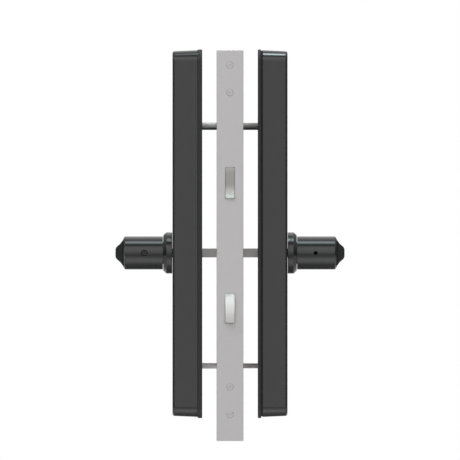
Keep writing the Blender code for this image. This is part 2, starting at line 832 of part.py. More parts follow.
def side_hole(item, side, radius, depth_to):
    x = side * SET_SCREW_X
    hole = rod(
        f"{item.name}_side_hole",
        (x, BACKSET - NECK_R - 3 * MM, LEVER_Z),
        (x, depth_to, LEVER_Z),
        radius,
        None,
        steps=20,
    )
    cut(item, hole)


def set_screw():
    x = -SET_SCREW_X
    start, end = BACKSET - NECK_R + 2.2 * MM, BACKSET - SPINDLE_HALF - GAP
    screw = rod(
        "lever_set_screw", (x, start, LEVER_Z), (x, end, LEVER_Z), SET_SCREW_R, "black_oxide", steps=20
    )
    mouth, bottom = (x, start - 1 * MM, LEVER_Z), (x, start + 2 * MM, LEVER_Z)
    cut(screw, rod("set_screw_socket", mouth, bottom, 1.3 * MM, None, steps=6))
    return screw


def spindle(name, side):
    low, high = span(side, 0.6 * MM, 87 * MM)
    return block(
        name,
        (low, BACKSET - SPINDLE_HALF, LEVER_Z - SPINDLE_HALF),
        (high, BACKSET + SPINDLE_HALF, LEVER_Z + SPINDLE_HALF),
        "bright_steel",
        0.4 * MM,
    )


def unit_outline(inset):
    """The housing's outline, drawn in by inset."""
    low = (UNIT_FRONT + inset, UNIT_BOTTOM + inset)
    high = (UNIT_BACK - inset, UNIT_TOP - inset)
    return rounded_outline(low, high, UNIT_CORNER - inset)


def seal():
    near, far = OUTER_BASE_FACE + GAP, SEAL_FACE
    ring = slab("outer_seal", unit_outline(0.7 * MM), near, far, "rubber")
    cut(ring, slab("seal_opening", unit_outline(3.5 * MM), near - 1 * MM, far + 1 * MM, None))


def battery_tray():
    """A box open towards the battery cover, with the four cells side by side in it."""
    tray = block(
        "battery_tray", (TRAY_X[0], TRAY_Y[0], TRAY_Z[0]), (TRAY_X[1], TRAY_Y[1], TRAY_Z[1]), "tray_plastic"
    )
    hollow = block(
        "tray_hollow",
        (TRAY_X[0] - 1 * MM, TRAY_Y[0] + TRAY_SIDE, TRAY_Z[0] + TRAY_END),
        (TRAY_X[1] - TRAY_FLOOR, TRAY_Y[1] - TRAY_SIDE, TRAY_Z[1] - TRAY_END),
        None,
    )
    cut(tray, hollow)
    for k in range(4):
        battery_cell(f"battery_cell_{k + 1}", BACKSET + (k - 1.5) * CELL_PITCH, 1 if k % 2 else -1)


def battery_cell(name, y, up):
    x, z = CELL_X, (TRAY_Z[0] + TRAY_Z[1]) / 2
    half = CELL_LENGTH / 2
    profile = [
        (0, half),
        (2.7 * MM, half),
        (2.7 * MM, half - 1.2 * MM),
        (CELL_R - 0.8 * MM, half - 1.2 * MM),
        (CELL_R, half - 2 * MM),
        (CELL_R, -half + 0.6 * MM),
        (CELL_R - 0.6 * MM, -half),
        (0, -half),
    ]
    turned(name, profile, Matrix.Translation((x, y, z)) @ along((0, 0, up)), "cell_jacket", 24)


def boards():
    """A board behind the keypad and one inside, each with its larger parts on it."""
    face = UNIT_FACE - PANEL_SINK - PANEL_THICK - 0.4 * MM
    low, high = KEYPAD_BOARD
    keypad = block("keypad_board", (face - BOARD_THICK, *low), (face, *high), "board")
    middle, (half_y, half_z) = (CABLE_Y, KEYPAD_SOCKET_Z), SOCKET_HALF
    socket_low = (face - 5 * MM, middle[0] - half_y, middle[1] - half_z)
    socket_high = (face - 1 * MM, middle[0] + half_y, middle[1] + half_z)
    low, high = KEYPAD_CHIP
    join(
        keypad,
        block("keypad_socket", socket_low, socket_high, None),
        block("keypad_chip", (face - 3 * MM, *low), (face - 1 * MM, *high), None),
    )
    low, high = CONTROL_BOARD
    control = block("control_board", (CONTROL_FACE, *low), (CONTROL_FACE + BOARD_THICK, *high), "board")
    for name, depth, low, high in CONTROL_PARTS:
        part = block(f"control_{name}", (CONTROL_FACE - depth, *low), (CONTROL_FACE + 1 * MM, *high), None)
        join(control, part)


def link_cable():
    """Straight through the door from the control board, then an easy bend up to the keypad's socket."""
    (start, end), bend = CABLE_SPAN, CABLE_BEND
    rise = KEYPAD_SOCKET_Z - CABLE_Z
    curve = bpy.data.curves.new("link_cable", "CURVE")
    curve.dimensions = "3D"
    curve.bevel_depth = CABLE_R
    curve.bevel_resolution = 2
    curve.use_fill_caps = True
    stations = [start + (bend - start) * k / 6 for k in range(6)]
    stations += [bend + (end - bend) * k / 8 for k in range(9)]
    line = curve.splines.new("POLY")
    line.points.add(len(stations) - 1)
    for point, x in zip(line.points, stations):
        share = max(0.0, (x - bend) / (end - bend))
        point.co = (x, CABLE_Y, CABLE_Z + rise * (1 - cos(pi * share)) / 2, 1)
    item = bpy.data.objects.new("link_cable", curve)
    PARTS.objects.link(item)
    curve.materials.append(surface("link_cable", "cable_jacket"))


def lock_button():
    """A flush round button with a flange that keeps it in the housing."""
    face = UNIT_FACE - 0.2 * MM
    profile = [
        (0, face),
        (BUTTON_R - 0.5 * MM, face),
        (BUTTON_R, face - 0.5 * MM),
        (BUTTON_R, face - 1.6 * MM),
        (BUTTON_R + BUTTON_FLANGE, face - 1.6 * MM),
        (BUTTON_R + BUTTON_FLANGE, face - 2.8 * MM),
        (0, face - 2.8 * MM),
    ]
    place = Matrix.Translation((0, BACKSET, BUTTON_Z)) @ along((-1, 0, 0))
    return turned("lock_button", profile, place, "black_lacquer")


def through_bolt(name, z):
    """Its head bears on the inner base plate, and its end screws into the outer one."""
    profile = [
        (0, 33 * MM),
        (4 * MM, 33 * MM),
        (4.5 * MM, 32.4 * MM),
        (4.5 * MM, INNER_BASE_FACE + GAP),
        (BOLT_R, INNER_BASE_FACE + GAP),
        (BOLT_R, -27 * MM),
        (BOLT_R - 0.6 * MM, -27.6 * MM),
        (0, -27.6 * MM),
    ]
    place = Matrix.Translation((0, BACKSET, z)) @ along((-1, 0, 0))
    bolt = turned(name, profile, place, "bright_steel", 16)
    cut(bolt, rod(f"{name}_socket", (-34 * MM, BACKSET, z), (-31 * MM, BACKSET, z), 2.2 * MM, None, steps=6))


faceplate()
for number, (height, length) in enumerate(
    (
        (WOOD_SCREW_Z[0], WOOD_SCREW_LENGTH),
        (CASE_SCREW_Z[0], CASE_SCREW_LENGTH),
        (CASE_SCREW_Z[1], CASE_SCREW_LENGTH),
        (WOOD_SCREW_Z[1], WOOD_SCREW_LENGTH),
    )
):
    face_screw(f"faceplate_screw_{number + 1}", height, length)

case_body()
case_cover()
hook_motor()
carry(axis_point("latch_slide_axis", (0, 0, (LATCH_TOP + LATCH_BOTTOM) / 2)), latch_bolt())
latch_spring()
carry(axis_point("hook_axis", (0, HOOK_Y, HOOK_Z)), hook_bolt())
carry(axis_point("pinion_axis", (0, *pinion_centre())), drive_pinion())

base_plate("outer_base_plate", 1, OUTER_BASE_FACE)
base_plate("inner_base_plate", -1, INNER_BASE_FACE)
seal()

outer_shell = housing("outer_housing", 1)
corner_low, corner_high = (PANEL_Y[0], PANEL_Z[0]), (PANEL_Y[1], PANEL_Z[1])
window(outer_shell, 1, corner_low, corner_high)
panel("touch_panel", 1, corner_low, corner_high, "panel_glass")

inner_shell = housing("inner_housing", -1)
window(inner_shell, -1, corner_low, corner_high)
button_hole = rod(
    "button_hole",
    (-UNIT_FACE - 2 * MM, BACKSET, BUTTON_Z),
    (-UNIT_FACE + 3 * MM, BACKSET, BUTTON_Z),
    BUTTON_R + GAP,
    None,
    steps=32,
)
cut(inner_shell, button_hole)
carry(
    axis_point("cover_axis", (-UNIT_FACE, BACKSET, (PANEL_Z[0] + PANEL_Z[1]) / 2)),
    panel("battery_cover", -1, corner_low, corner_high, "black_coat"),
)
carry(axis_point("button_axis", (-UNIT_FACE, BACKSET, BUTTON_Z)), lock_button())
battery_tray()
boards()
link_cable()
for number, height in enumerate(BOLT_Z):
    through_bolt(f"through_bolt_{number + 1}", height)

for label, direction in (("outer", 1), ("inner", -1)):
    rose(f"{label}_rose", direction)
    handle = lever(f"{label}_lever", direction)
    bar = spindle(f"{label}_spindle", direction)
    near, far = span(direction, 0.2 * MM, 5.9 * MM)
    hub = follower(f"{label}_follower", near, far)
    pivot = axis_point(f"{label}_lever_axis", (0, BACKSET, LEVER_Z))
    carry(pivot, handle, bar, hub)
    if direction < 0:
        side_hole(handle, direction, SET_SCREW_R + GAP, BACKSET)
        carry(pivot, set_screw())
    else:
        side_hole(handle, direction, RELEASE_R, BACKSET - NECK_R + 4 * MM)
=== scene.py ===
"""Keypad smart lock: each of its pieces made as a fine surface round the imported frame.

Lengths in the helpers are in millimetres, in the frame's own axes: +X out of the door on the keypad side,
+Y into the door from its latch edge, +Z up. The origin is the middle of the faceplate's front.
"""

import json
from math import pi, radians, sqrt, tau

import bmesh
import bpy
import numpy as np
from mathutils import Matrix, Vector


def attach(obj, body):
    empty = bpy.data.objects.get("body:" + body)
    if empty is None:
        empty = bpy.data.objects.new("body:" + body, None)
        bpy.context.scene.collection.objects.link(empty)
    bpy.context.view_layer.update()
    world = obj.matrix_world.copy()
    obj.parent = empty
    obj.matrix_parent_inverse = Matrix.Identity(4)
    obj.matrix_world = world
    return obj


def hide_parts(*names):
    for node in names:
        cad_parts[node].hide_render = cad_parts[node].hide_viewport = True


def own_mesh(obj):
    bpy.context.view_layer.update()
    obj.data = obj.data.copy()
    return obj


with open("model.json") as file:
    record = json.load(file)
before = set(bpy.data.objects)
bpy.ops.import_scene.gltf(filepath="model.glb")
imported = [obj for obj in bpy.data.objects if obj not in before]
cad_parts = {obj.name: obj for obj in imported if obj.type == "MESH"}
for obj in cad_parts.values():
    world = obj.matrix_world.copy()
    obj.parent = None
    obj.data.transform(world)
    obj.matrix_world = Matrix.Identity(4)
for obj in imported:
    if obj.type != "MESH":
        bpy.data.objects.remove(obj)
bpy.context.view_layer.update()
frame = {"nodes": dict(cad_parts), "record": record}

MM = 0.001
NODES = frame["nodes"]
RECORD = frame["record"]
BODY_OF = {
    node: body for body, members in RECORD["behaviour"]["bodies"].items() for node in members
}
SLOT_OF = {part["node"]: part["material_slot"] for part in RECORD["subparts"]}

# (Y, Z) of the axes that lie along X
LEVER_AXIS = (60.0, -6.6)
HOOK_AXIS = (14.0, -66.0)
BUTTON = (0.0, 60.0, -75.0)
SIDE_HOLE_X = 76.85
DOOR_HALF = 25.0

# a pair of module 1 gears, their axes half the sum of their teeth apart
SECTOR_TEETH, PINION_TEETH = 32, 12
GEAR_REACH = (SECTOR_TEETH + PINION_TEETH) / 2
MESH_ANGLE = radians(-35)
PINION_AXIS = (
    HOOK_AXIS[0] + GEAR_REACH * np.cos(MESH_ANGLE),
    HOOK_AXIS[1] + GEAR_REACH * np.sin(MESH_ANGLE),
)


# Materials


def tint(code):
    """A linear colour from an sRGB hex code: ((c + 0.055) / 1.055) ^ 2.4 above the toe, c / 12.92 below."""
    parts = np.array([int(code[k : k + 2], 16) for k in (1, 3, 5)]) / 255
    linear = np.where(parts > 0.04045, ((parts + 0.055) / 1.055) ** 2.4, parts / 12.92)
    return (*linear.tolist(), 1.0)


def node(tree, kind, sockets=None, **settings):
    """Add a node, set its own settings, and give each named socket a value or a link."""
    made = tree.nodes.new(kind)
    for key, value in settings.items():
        setattr(made, key, value)
    for key, value in (sockets or {}).items():
        if isinstance(value, bpy.types.NodeSocket):
            tree.links.new(value, made.inputs[key])
        else:
            made.inputs[key].default_value = value
    return made


def ramp(tree, factor, stops):
    """A colour ramp through (place, grey or colour) stops."""
    made = node(tree, "ShaderNodeValToRGB", {"Fac": factor})
    band = made.color_ramp
    while len(band.elements) < len(stops):
        band.elements.new(0.5)
    for element, (place, value) in zip(band.elements, stops):
        element.position = place
    for element, (place, value) in zip(band.elements, stops):
        element.color = value if isinstance(value, tuple) else (value, value, value, 1)
    return made


def grain(tree, scale_mm, stretch=(1, 1, 1), detail=3.0):
    """Noise whose cells are scale_mm wide on the object, drawn out along an axis by stretch."""
    place = node(tree, "ShaderNodeTexCoord")
    fit = node(
        tree,
        "ShaderNodeMapping",
        {"Vector": place.outputs["Object"], "Scale": tuple(1000 / scale_mm / s for s in stretch)},
    )
    sockets = {"Vector": fit.outputs["Vector"], "Scale": 1.0, "Detail": detail}
    return node(tree, "ShaderNodeTexNoise", sockets)


def finish(name, colour, metallic, roughness, grain_mm, stretch=(1, 1, 1), **more):
    """A Principled surface whose colour, roughness and bump all follow one grain of a real size.

    more: spread (roughness either side of its middle), shade (share the colour darkens by in the grain's
    low places), relief (bump height in mm), mottle_mm (a second, broader unevenness), shader (socket values).
    """
    made = bpy.data.materials.new(name)
    made.use_nodes = True
    tree = made.node_tree
    shader = tree.nodes["Principled BSDF"]
    spread, shade = more.get("spread", 0.04), more.get("shade", 0.08)
    fine = grain(tree, grain_mm, stretch)
    broad = grain(tree, more.get("mottle_mm", 18.0), detail=2.0)
    both = node(
        tree, "ShaderNodeMix", {"Factor": 0.35, "A": fine.outputs["Fac"], "B": broad.outputs["Fac"]}
    )
    base = tint(colour)
    low = tuple(c * (1 - shade) for c in base[:3]) + (1.0,)
    high = tuple(min(1.0, c * (1 + shade)) for c in base[:3]) + (1.0,)
    tone = ramp(tree, both.outputs["Result"], ((0.3, low), (0.7, high)))
    tree.links.new(tone.outputs["Color"], shader.inputs["Base Color"])
    rough = node(
        tree,
        "ShaderNodeMapRange",
        {
            "Value": both.outputs["Result"],
            "From Min": 0.3,
            "From Max": 0.7,
            "To Min": roughness - spread,
            "To Max": roughness + spread,
        },
    )
    tree.links.new(rough.outputs["Result"], shader.inputs["Roughness"])
    bump = node(
        tree,
        "ShaderNodeBump",
        {"Strength": 1.0, "Distance": more.get("relief", 0.004) * MM, "Height": fine.outputs["Fac"]},
    )
    tree.links.new(bump.outputs["Normal"], shader.inputs["Normal"])
    shader.inputs["Metallic"].default_value = metallic
    for key, value in more.get("shader", {}).items():
        shader.inputs[key].default_value = value
    return made


FINISHES = {
    # satin stainless strip, linished along its length: one even soft grey, its lines too fine to part
    "satin_steel": finish(
        "satin_stainless", "#cccaca", 1.0, 0.42, 0.5, (1, 1, 40), spread=0.03, shade=0.03, relief=0.002
    ),
    # nickel plate over cast steel, tumbled: bright, with highlights that spread
    "bright_steel": finish("satin_nickel", "#dcdad8", 1.0, 0.6, 0.8, spread=0.03, shade=0.03, relief=0.001),
    # the same nickel plate as the hook, made greyer: painted shade standing for the darkness of the latch's
    # hollow nose
    "latch_nickel": finish("latch_nickel_shaded", "#b4b1ad", 1.0, 0.52, 0.8, spread=0.03, shade=0.04),
    # black oxide on hardened steel: a thin dark film, faintly blue-brown
    "black_oxide": finish("black_oxide", "#4a4845", 0.7, 0.45, 1.0, spread=0.05),
    # zinc-plated sheet, cold and faintly clouded
    "zinc_sheet": finish(
        "zinc_plated_sheet", "#a9adb0", 1.0, 0.46, 3.0, spread=0.08, shade=0.12, mottle_mm=11.0
    ),
    # hobbed brass
    "brass": finish("hobbed_brass", "#c9a255", 1.0, 0.33, 0.6, (8, 1, 1)),
    # black powder coat, baked satin: an even dark grey that shows only at the corners that it is glossy
    "black_coat": finish(
        "satin_powder_coat",
        "#252525",
        0.0,
        0.5,
        0.9,
        spread=0.03,
        shade=0.05,
        relief=0.001,
        shader={"Coat Weight": 1.0, "Coat Roughness": 0.07, "Specular IOR Level": 0.05},
    ),
    # black e-coat on pressed steel: flatter and darker than the housings
    "base_coat": finish("black_e_coat", "#1d1e1f", 0.0, 0.5, 0.7, spread=0.05, shade=0.08),
    # sprayed black lacquer over zinc die casting, rubbed once: sharp reflections under a clear top coat
    "black_lacquer": finish(
        "black_lacquer",
        "#1b1c1c",
        0.0,
        0.45,
        1.5,
        spread=0.04,
        shade=0.05,
        relief=0.0005,
        shader={"Coat Weight": 1.0, "Coat Roughness": 0.04, "Specular IOR Level": 0.05},
    ),
    # moulded EPDM seal
    "seal_rubber": finish("moulded_epdm", "#131313", 0.0, 0.75, 0.5, relief=0.01),
    # back-painted toughened glass
    "panel_glass": finish(
        "back_painted_glass", "#060607", 0.0, 0.06, 30.0, spread=0.01, relief=0.0, shader={"Coat Weight": 0.3}
    ),
    # FR-4 board under green solder mask
    "board": finish("solder_mask", "#134d2a", 0.0, 0.32, 1.2, spread=0.05, shade=0.15),
    # PVC cable jacket
    "cable_jacket": finish("pvc_jacket", "#171717", 0.0, 0.5, 0.6),
    # black ABS, moulded with a spark-eroded grain
    "tray_plastic": finish("moulded_abs", "#1e1f1f", 0.0, 0.58, 0.7, relief=0.02),
    # printed foil round an alkaline cell
    "cell_jacket": finish("printed_foil", "#5b6168", 0.5, 0.35, 4.0),
    # the copper-coloured band at the cell's button end
    "cell_end": finish("copper_foil", "#b0713c", 0.8, 0.32, 4.0),
}


# Surfaces


def loft(rings, loop=False):
    """Points and faces of a skin over closed rings, an array of (ring, point, xyz).

    Point (i, j) is joined to (i + 1, j) and (i, j + 1), j wrapping round each ring. With loop, i wraps as
    well and the skin is a ring shape; without it, the first and the last ring are each filled flat.
    """
    rings = np.asarray(rings, float)
    count, around = rings.shape[:2]
    points = rings.reshape(-1, 3)
    rows = np.arange(count if loop else count - 1)
    here = rows[:, None] * around + np.arange(around)[None, :]
    beside = rows[:, None] * around + (np.arange(around)[None, :] + 1) % around
    above = ((rows + 1) % count)[:, None] * around
    faces = np.stack(
        [here, beside, above + (np.arange(around) + 1) % around, above + np.arange(around)], -1
    )
    faces = faces.reshape(-1, 4).tolist()
    if not loop:
        faces.append(list(range(around))[::-1])
        faces.append(list(range((count - 1) * around, count * around)))
    return points, faces


def to_mesh(name, points, faces):
    """A mesh in metres with its faces turned outwards."""
    mesh = bpy.data.meshes.new(name)
    mesh.from_pydata((np.asarray(points) * MM).tolist(), [], faces)
    bm = bmesh.new()
    bm.from_mesh(mesh)
    bmesh.ops.remove_doubles(bm, verts=bm.verts, dist=1e-7)
    bmesh.ops.recalc_face_normals(bm, faces=bm.faces)
    bm.to_mesh(mesh)
    bm.free()
    return mesh


def solid(name, rings, loop=False):
    """An unfinished object, used for a cutter or a piece that is still to be cut."""
    made = bpy.data.objects.new(name, to_mesh(name, *loft(rings, loop)))
    bpy.context.scene.collection.objects.link(made)
    return made


def settle(piece):
    """Replace a piece's mesh with what its modifiers make of it."""
    bpy.context.view_layer.update()
    graph = bpy.context.evaluated_depsgraph_get()
    mesh = bpy.data.meshes.new_from_object(piece.evaluated_get(graph))
    piece.modifiers.clear()
    piece.data = mesh


def combine(piece, operation, others):
    """Cut others out of a piece, or join them to it, then take them away."""
    for other in others:
        change = piece.modifiers.new("combine", "BOOLEAN")
        change.operation = operation
        change.solver = "EXACT"
        change.object = other
    settle(piece)
    for other in others:
        bpy.data.objects.remove(other)
    return piece


def cut(piece, *others):
    return combine(piece, "DIFFERENCE", others)


def join(piece, *others):
    return combine(piece, "UNION", others)


def show(piece, nodes, sharp=32, slot=None, body=None, coat=None):
    """Finish a piece: smooth it, give it its material, and let it stand for its CAD nodes."""
    nodes = [nodes] if isinstance(nodes, str) else list(nodes)
    mesh = piece.data
    slot = slot or SLOT_OF[nodes[0]]
    mesh.materials.clear()
    mesh.materials.append(FINISHES[coat or slot])
    mesh.shade_smooth()
    mesh.set_sharp_from_angle(angle=radians(sharp))
    flat = piece.modifiers.new("even_shading", "WEIGHTED_NORMAL")
    flat.keep_sharp = True
    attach(piece, body or BODY_OF[nodes[0]])
    if nodes:
        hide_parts(*nodes)
    return piece


def paint(piece, coat, chosen):
    """Give a second coat to the faces whose middles, in millimetres, are chosen."""
    mesh = piece.data
    mesh.materials.append(FINISHES[coat])
    middles, coats = np.empty(len(mesh.polygons) * 3), np.empty(len(mesh.polygons), np.int32)
    mesh.polygons.foreach_get("center", middles)
    mesh.polygons.foreach_get("material_index", coats)
    coats[chosen(middles.reshape(-1, 3) / MM)] = len(mesh.materials) - 1
    mesh.polygons.foreach_set("material_index", coats)


def quarter(radius, steps=6):
    """(inset, rise) along a quarter circle, from a side (radius below the top) to the top (radius in)."""
    turn = np.linspace(0, pi / 2, steps + 1)
    return radius * (1 - np.cos(turn)), radius * np.sin(turn)


def rounded(low, high, corner, inset=0.0, steps=12):
    """A rectangle in Y and Z with round corners, drawn in by inset; the corner radius shrinks with it."""
    (y0, z0), (y1, z1) = low, high
    radius = max(corner - inset, 0.02)
    turn = np.linspace(0, pi / 2, steps + 1)
    centres = (
        (y1 - inset - radius, z1 - inset - radius, 0),
        (y0 + inset + radius, z1 - inset - radius, pi / 2),
        (y0 + inset + radius, z0 + inset + radius, pi),
        (y1 - inset - radius, z0 + inset + radius, 3 * pi / 2),
    )
    return np.concatenate(
        [np.stack([y + radius * np.cos(turn + a), z + radius * np.sin(turn + a)], -1) for y, z, a in centres]
    )


def at_x(outline, x):
    """A Y, Z outline placed at one X, or at one X for each point."""
    return np.concatenate([np.full((len(outline), 1), 0.0) + np.reshape(x, (-1, 1)), outline], 1)


def drawn_in(outline, inset):
    """An outline moved inwards, each corner along its bisector so that both its sides move alike."""
    outline = np.asarray(outline, float)
    ahead = np.roll(outline, -1, 0) - outline
    ahead /= np.maximum(np.linalg.norm(ahead, axis=1, keepdims=True), 1e-9)
    behind = np.roll(ahead, 1, 0)
    left_ahead = np.stack([-ahead[:, 1], ahead[:, 0]], -1)
    left_behind = np.stack([-behind[:, 1], behind[:, 0]], -1)
    bisector = left_ahead + left_behind
    bisector /= np.maximum(np.linalg.norm(bisector, axis=1, keepdims=True), 1e-9)
    stretch = 1 / np.maximum((bisector * left_ahead).sum(1), 0.5)
    area = (outline[:, 0] * np.roll(outline[:, 1], -1) - np.roll(outline[:, 0], -1) * outline[:, 1]).sum()
    return outline + np.sign(area) * inset * stretch[:, None] * bisector


def softened(outline, radius, steps=5):
    """An outline with each corner turned through an arc of its own radius, one radius for each point.

    The arc of radius r at a corner that turns by t starts r * tan(t / 2) before it, and is never allowed
    more than 0.45 of the shorter side.
    """
    outline = np.asarray(outline, float)
    radius = np.broadcast_to(np.asarray(radius, float), len(outline))
    back, ahead = np.roll(outline, 1, 0) - outline, np.roll(outline, -1, 0) - outline
    lengths = np.minimum(np.linalg.norm(back, axis=1), np.linalg.norm(ahead, axis=1))
    back /= np.linalg.norm(back, axis=1, keepdims=True)
    ahead /= np.linalg.norm(ahead, axis=1, keepdims=True)
    half = np.arccos(np.clip((back * ahead).sum(1), -1, 1)) / 2
    reach = np.minimum(radius / np.tan(half), 0.45 * lengths)
    share = np.linspace(0, 1, steps + 1)[None, :, None]
    start, end = (outline + back * reach[:, None])[:, None], (outline + ahead * reach[:, None])[:, None]
    corner = outline[:, None]
    weight = np.sin(half)[:, None, None]
    bottom = (1 - share) ** 2 + 2 * share * (1 - share) * weight + share**2
    arcs = ((1 - share) ** 2 * start + 2 * share * (1 - share) * weight * corner + share**2 * end) / bottom
    return arcs.reshape(-1, 2)


def distinct(outline, apart=0.002):
    """An outline without the points that coincide with the one before."""
    gap = np.linalg.norm(outline - np.roll(outline, 1, 0), axis=1)
    return outline[gap > apart]


def rims(low, high, edge, steps):
    """Places from low to high and the inset at each, for rims that are quarter circles of radius edge."""
    inset, rise = quarter(edge, steps)
    places = np.concatenate([low + edge - rise[::-1], high - edge + rise])
    return places, np.concatenate([inset[::-1], inset])


def plate(name, outline, low, high, edge):
    """A flat outline given thickness along X, both its rims rounded by a quarter circle of radius edge."""
    xs, insets = rims(low, high, edge, 4)
    return solid(name, [at_x(drawn_in(outline, d), x) for x, d in zip(xs, insets)])


def bar(name, low, high, edge=0.0, steps=3):
    """A block between two corners: a rounded rectangle carried along X, its rims quarter circles."""
    (x0, y0, z0), (x1, y1, z1) = low, high
    edge = max(edge, 0.01)
    xs, insets = rims(x0, x1, edge, steps)
    return solid(
        name,
        [at_x(rounded((y0, z0), (y1, z1), edge * 1.001, d, steps), x) for x, d in zip(xs, insets)],
    )


# each axis, then the two directions across it
AXES = {
    "x": ((1, 0, 0), (0, 1, 0), (0, 0, 1)),
    "y": ((0, 1, 0), (0, 0, 1), (1, 0, 0)),
    "z": ((0, 0, 1), (1, 0, 0), (0, 1, 0)),
}


def turned_rings(profile, axis, centre, around=96, swell=None):
    """Rings of a profile of (radius, distance) turned about an axis through centre.

    Point (i, j) = centre + distance_i * axis + (radius_i + swell_ij) * (cos u_j, sin u_j) across it.
    """
    profile = np.asarray(profile, float)
    main, first, second = (np.array(v, float) for v in AXES[axis])
    turn = np.linspace(0, tau, around, endpoint=False)
    radius = profile[:, :1] + (0 if swell is None else swell)
    across = np.cos(turn)[None, :, None] * first + np.sin(turn)[None, :, None] * second
    return np.array(centre, float) + profile[:, 1, None, None] * main + radius[:, :, None] * across


def turned(name, profile, axis, centre, around=96, swell=None):
    return solid(name, turned_rings(profile, axis, centre, around, swell))


def rod(name, axis, centre, low, high, radius, around=64):
    return turned(name, [(radius, low), (radius, high)], axis, centre, around)


def eased(profile, radius, steps=4):
    """A turned profile, open at its ends, with each inner corner rounded."""
    profile = np.asarray(profile, float)
    closed = softened(profile, radius, steps).reshape(len(profile), steps + 1, 2)
    return np.concatenate([profile[:1], closed[1:-1].reshape(-1, 2), profile[-1:]])


def thread(core, crest, pitch, start, end, around=48, steps=9):
    """A screw thread as rows of a profile with its swell.

    The surface stands crest - core above the core by a rounded ridge, (0.5 + 0.5 cos p) ^ 2 of the phase
    p = 2 pi * distance / pitch - u, and fades in and out over one pitch at each end.
    """
    rows = max(8, int(abs(end - start) / pitch * steps))
    distance = np.linspace(start, end, rows)
    turn = np.linspace(0, tau, around, endpoint=False)
    phase = tau * distance[:, None] / pitch - turn[None, :]
    fade = np.clip(np.minimum(abs(distance - start), abs(distance - end)) / pitch, 0, 1)
    swell = (crest - core) * (0.5 + 0.5 * np.cos(phase)) ** 2 * fade[:, None]
    return np.stack([np.full(rows, core), distance], -1), swell


def threaded(name, head, ridge, tail, axis, centre):
    """A turned piece: the plain profile of its head, a thread's rows with their swell, and its plain tail."""
    rows, swell = ridge
    profile = np.concatenate([head, rows, tail])
    swells = np.zeros((len(profile), swell.shape[1]))
    swells[len(head) : len(head) + len(rows)] = swell
    return turned(name, profile, axis, centre, swell.shape[1], swells)


def hexagon(name, axis, centre, low, high, across_flats):
    """A six-sided bar for a key socket, across_flats wide."""
    return turned(name, [(across_flats / sqrt(3), low), (across_flats / sqrt(3), high)], axis, centre, 6)


# Door edge


PLATE_HALF, PLATE_END, PLATE_THICK, SLOT_HALF = 12.0, 175.0, 3, 4.4
SCREW_HEIGHTS = (161.7, 136.9, -126.4, -151.2)
SCREW_LENGTHS = (32, 10, 10, 32)
SCREW_PITCHES = (1.6, 0.8, 0.8, 1.6)


def faceplate():
    """A strip with rims rounded 0.35 mm, its slots, countersinks and the seat in its back cut out."""
    ys, insets = rims(0, PLATE_THICK, 0.35, 4)
    flat = [rounded((-PLATE_HALF, -PLATE_END), (PLATE_HALF, PLATE_END), 0.6, d, 4) for d in insets]
    rings = [np.stack([f[:, 0], np.full(len(f), y), f[:, 1]], -1) for f, y in zip(flat, ys)]
    strip = solid("faceplate_surface", rings)
    cutters = [
        bar("seat_cut", (-8.3, 2.0, -133.3), (8.3, 4.0, 143.3), 0.2),
        bar("latch_slot_cut", (-SLOT_HALF, -1.0, 42.15), (SLOT_HALF, 4.0, 70.2), 0.2),
        hook_slot_cut(-1.0, 4.0),
    ]
    for z in SCREW_HEIGHTS:
        sink = [(3.06, -1.0), (3.06, 0.6), (2.3, 1.9), (2.3, 5.0)]
        cutters.append(turned("sink_cut", sink, "y", (0, 0, z), 96))
    return show(cut(strip, *cutters), "faceplate")


HOOK_BACK, HOOK_HUB, HOOK_PLAY = 27.0, 10.8, 0.2


def hook_slot_cut(front, back):
    """The slot's top clears the hook's round back: z = sqrt(27.2^2 - (y - 14)^2) above the pivot."""
    y = np.linspace(back, front, 24)
    reach = HOOK_BACK + HOOK_PLAY
    top = np.stack([y, HOOK_AXIS[1] + np.sqrt(reach**2 - (y - HOOK_AXIS[0]) ** 2)], -1)
    outline = np.concatenate([[(front, -69.5), (back, -69.5)], top])
    return solid("hook_slot_cut", [at_x(outline, -SLOT_HALF), at_x(outline, SLOT_HALF)])


def face_screw(number, z, length, pitch):
    """A countersunk head with a shallow ring and a cross recess, then a rolled thread and a point."""
    head = [
        (2.5, 0.02),
        (2.8, 0.02),
        (2.88, 0.06),
        (2.9, 0.14),
        (2.9, 0.5),
        (1.72, 1.7),
        (1.6, 2.4),
    ]
    ridge = thread(1.45, 2.0, pitch, 3.0, length - 2.0)
    tip = [(1.2, length - 1.4), (0.6, length - 0.4), (0.2, length)]
    screw = threaded(f"faceplate_screw_{number}_surface", head, ridge, tip, "y", (0, 0, z))
    wings = [
        bar("wing_cut", (-1.5, -1.0, z - 0.24), (1.5, 1.0, z + 0.24), 0.05),
        bar("wing_cut", (-0.24, -1.0, z - 1.5), (0.24, 1.0, z + 1.5), 0.05),
    ]
    return show(cut(screw, *wings), f"faceplate_screw_{number}")


LATCH_LOW, LATCH_HIGH, LATCH_BACK, BOLT_HALF = 42.4, 70.0, 22.0, 4.2
# height up the latch, and the slope of its nose there in degrees; below zero the nose faces down
NOSE_SLOPE = (
    (LATCH_HIGH, 10),
    (67, 3),
    (64, -4),
    (60, -9),
    (57, -7),
    (53.5, 2),
    (50.5, 14),
    (46.2, 37),
    (LATCH_LOW, 46),
)


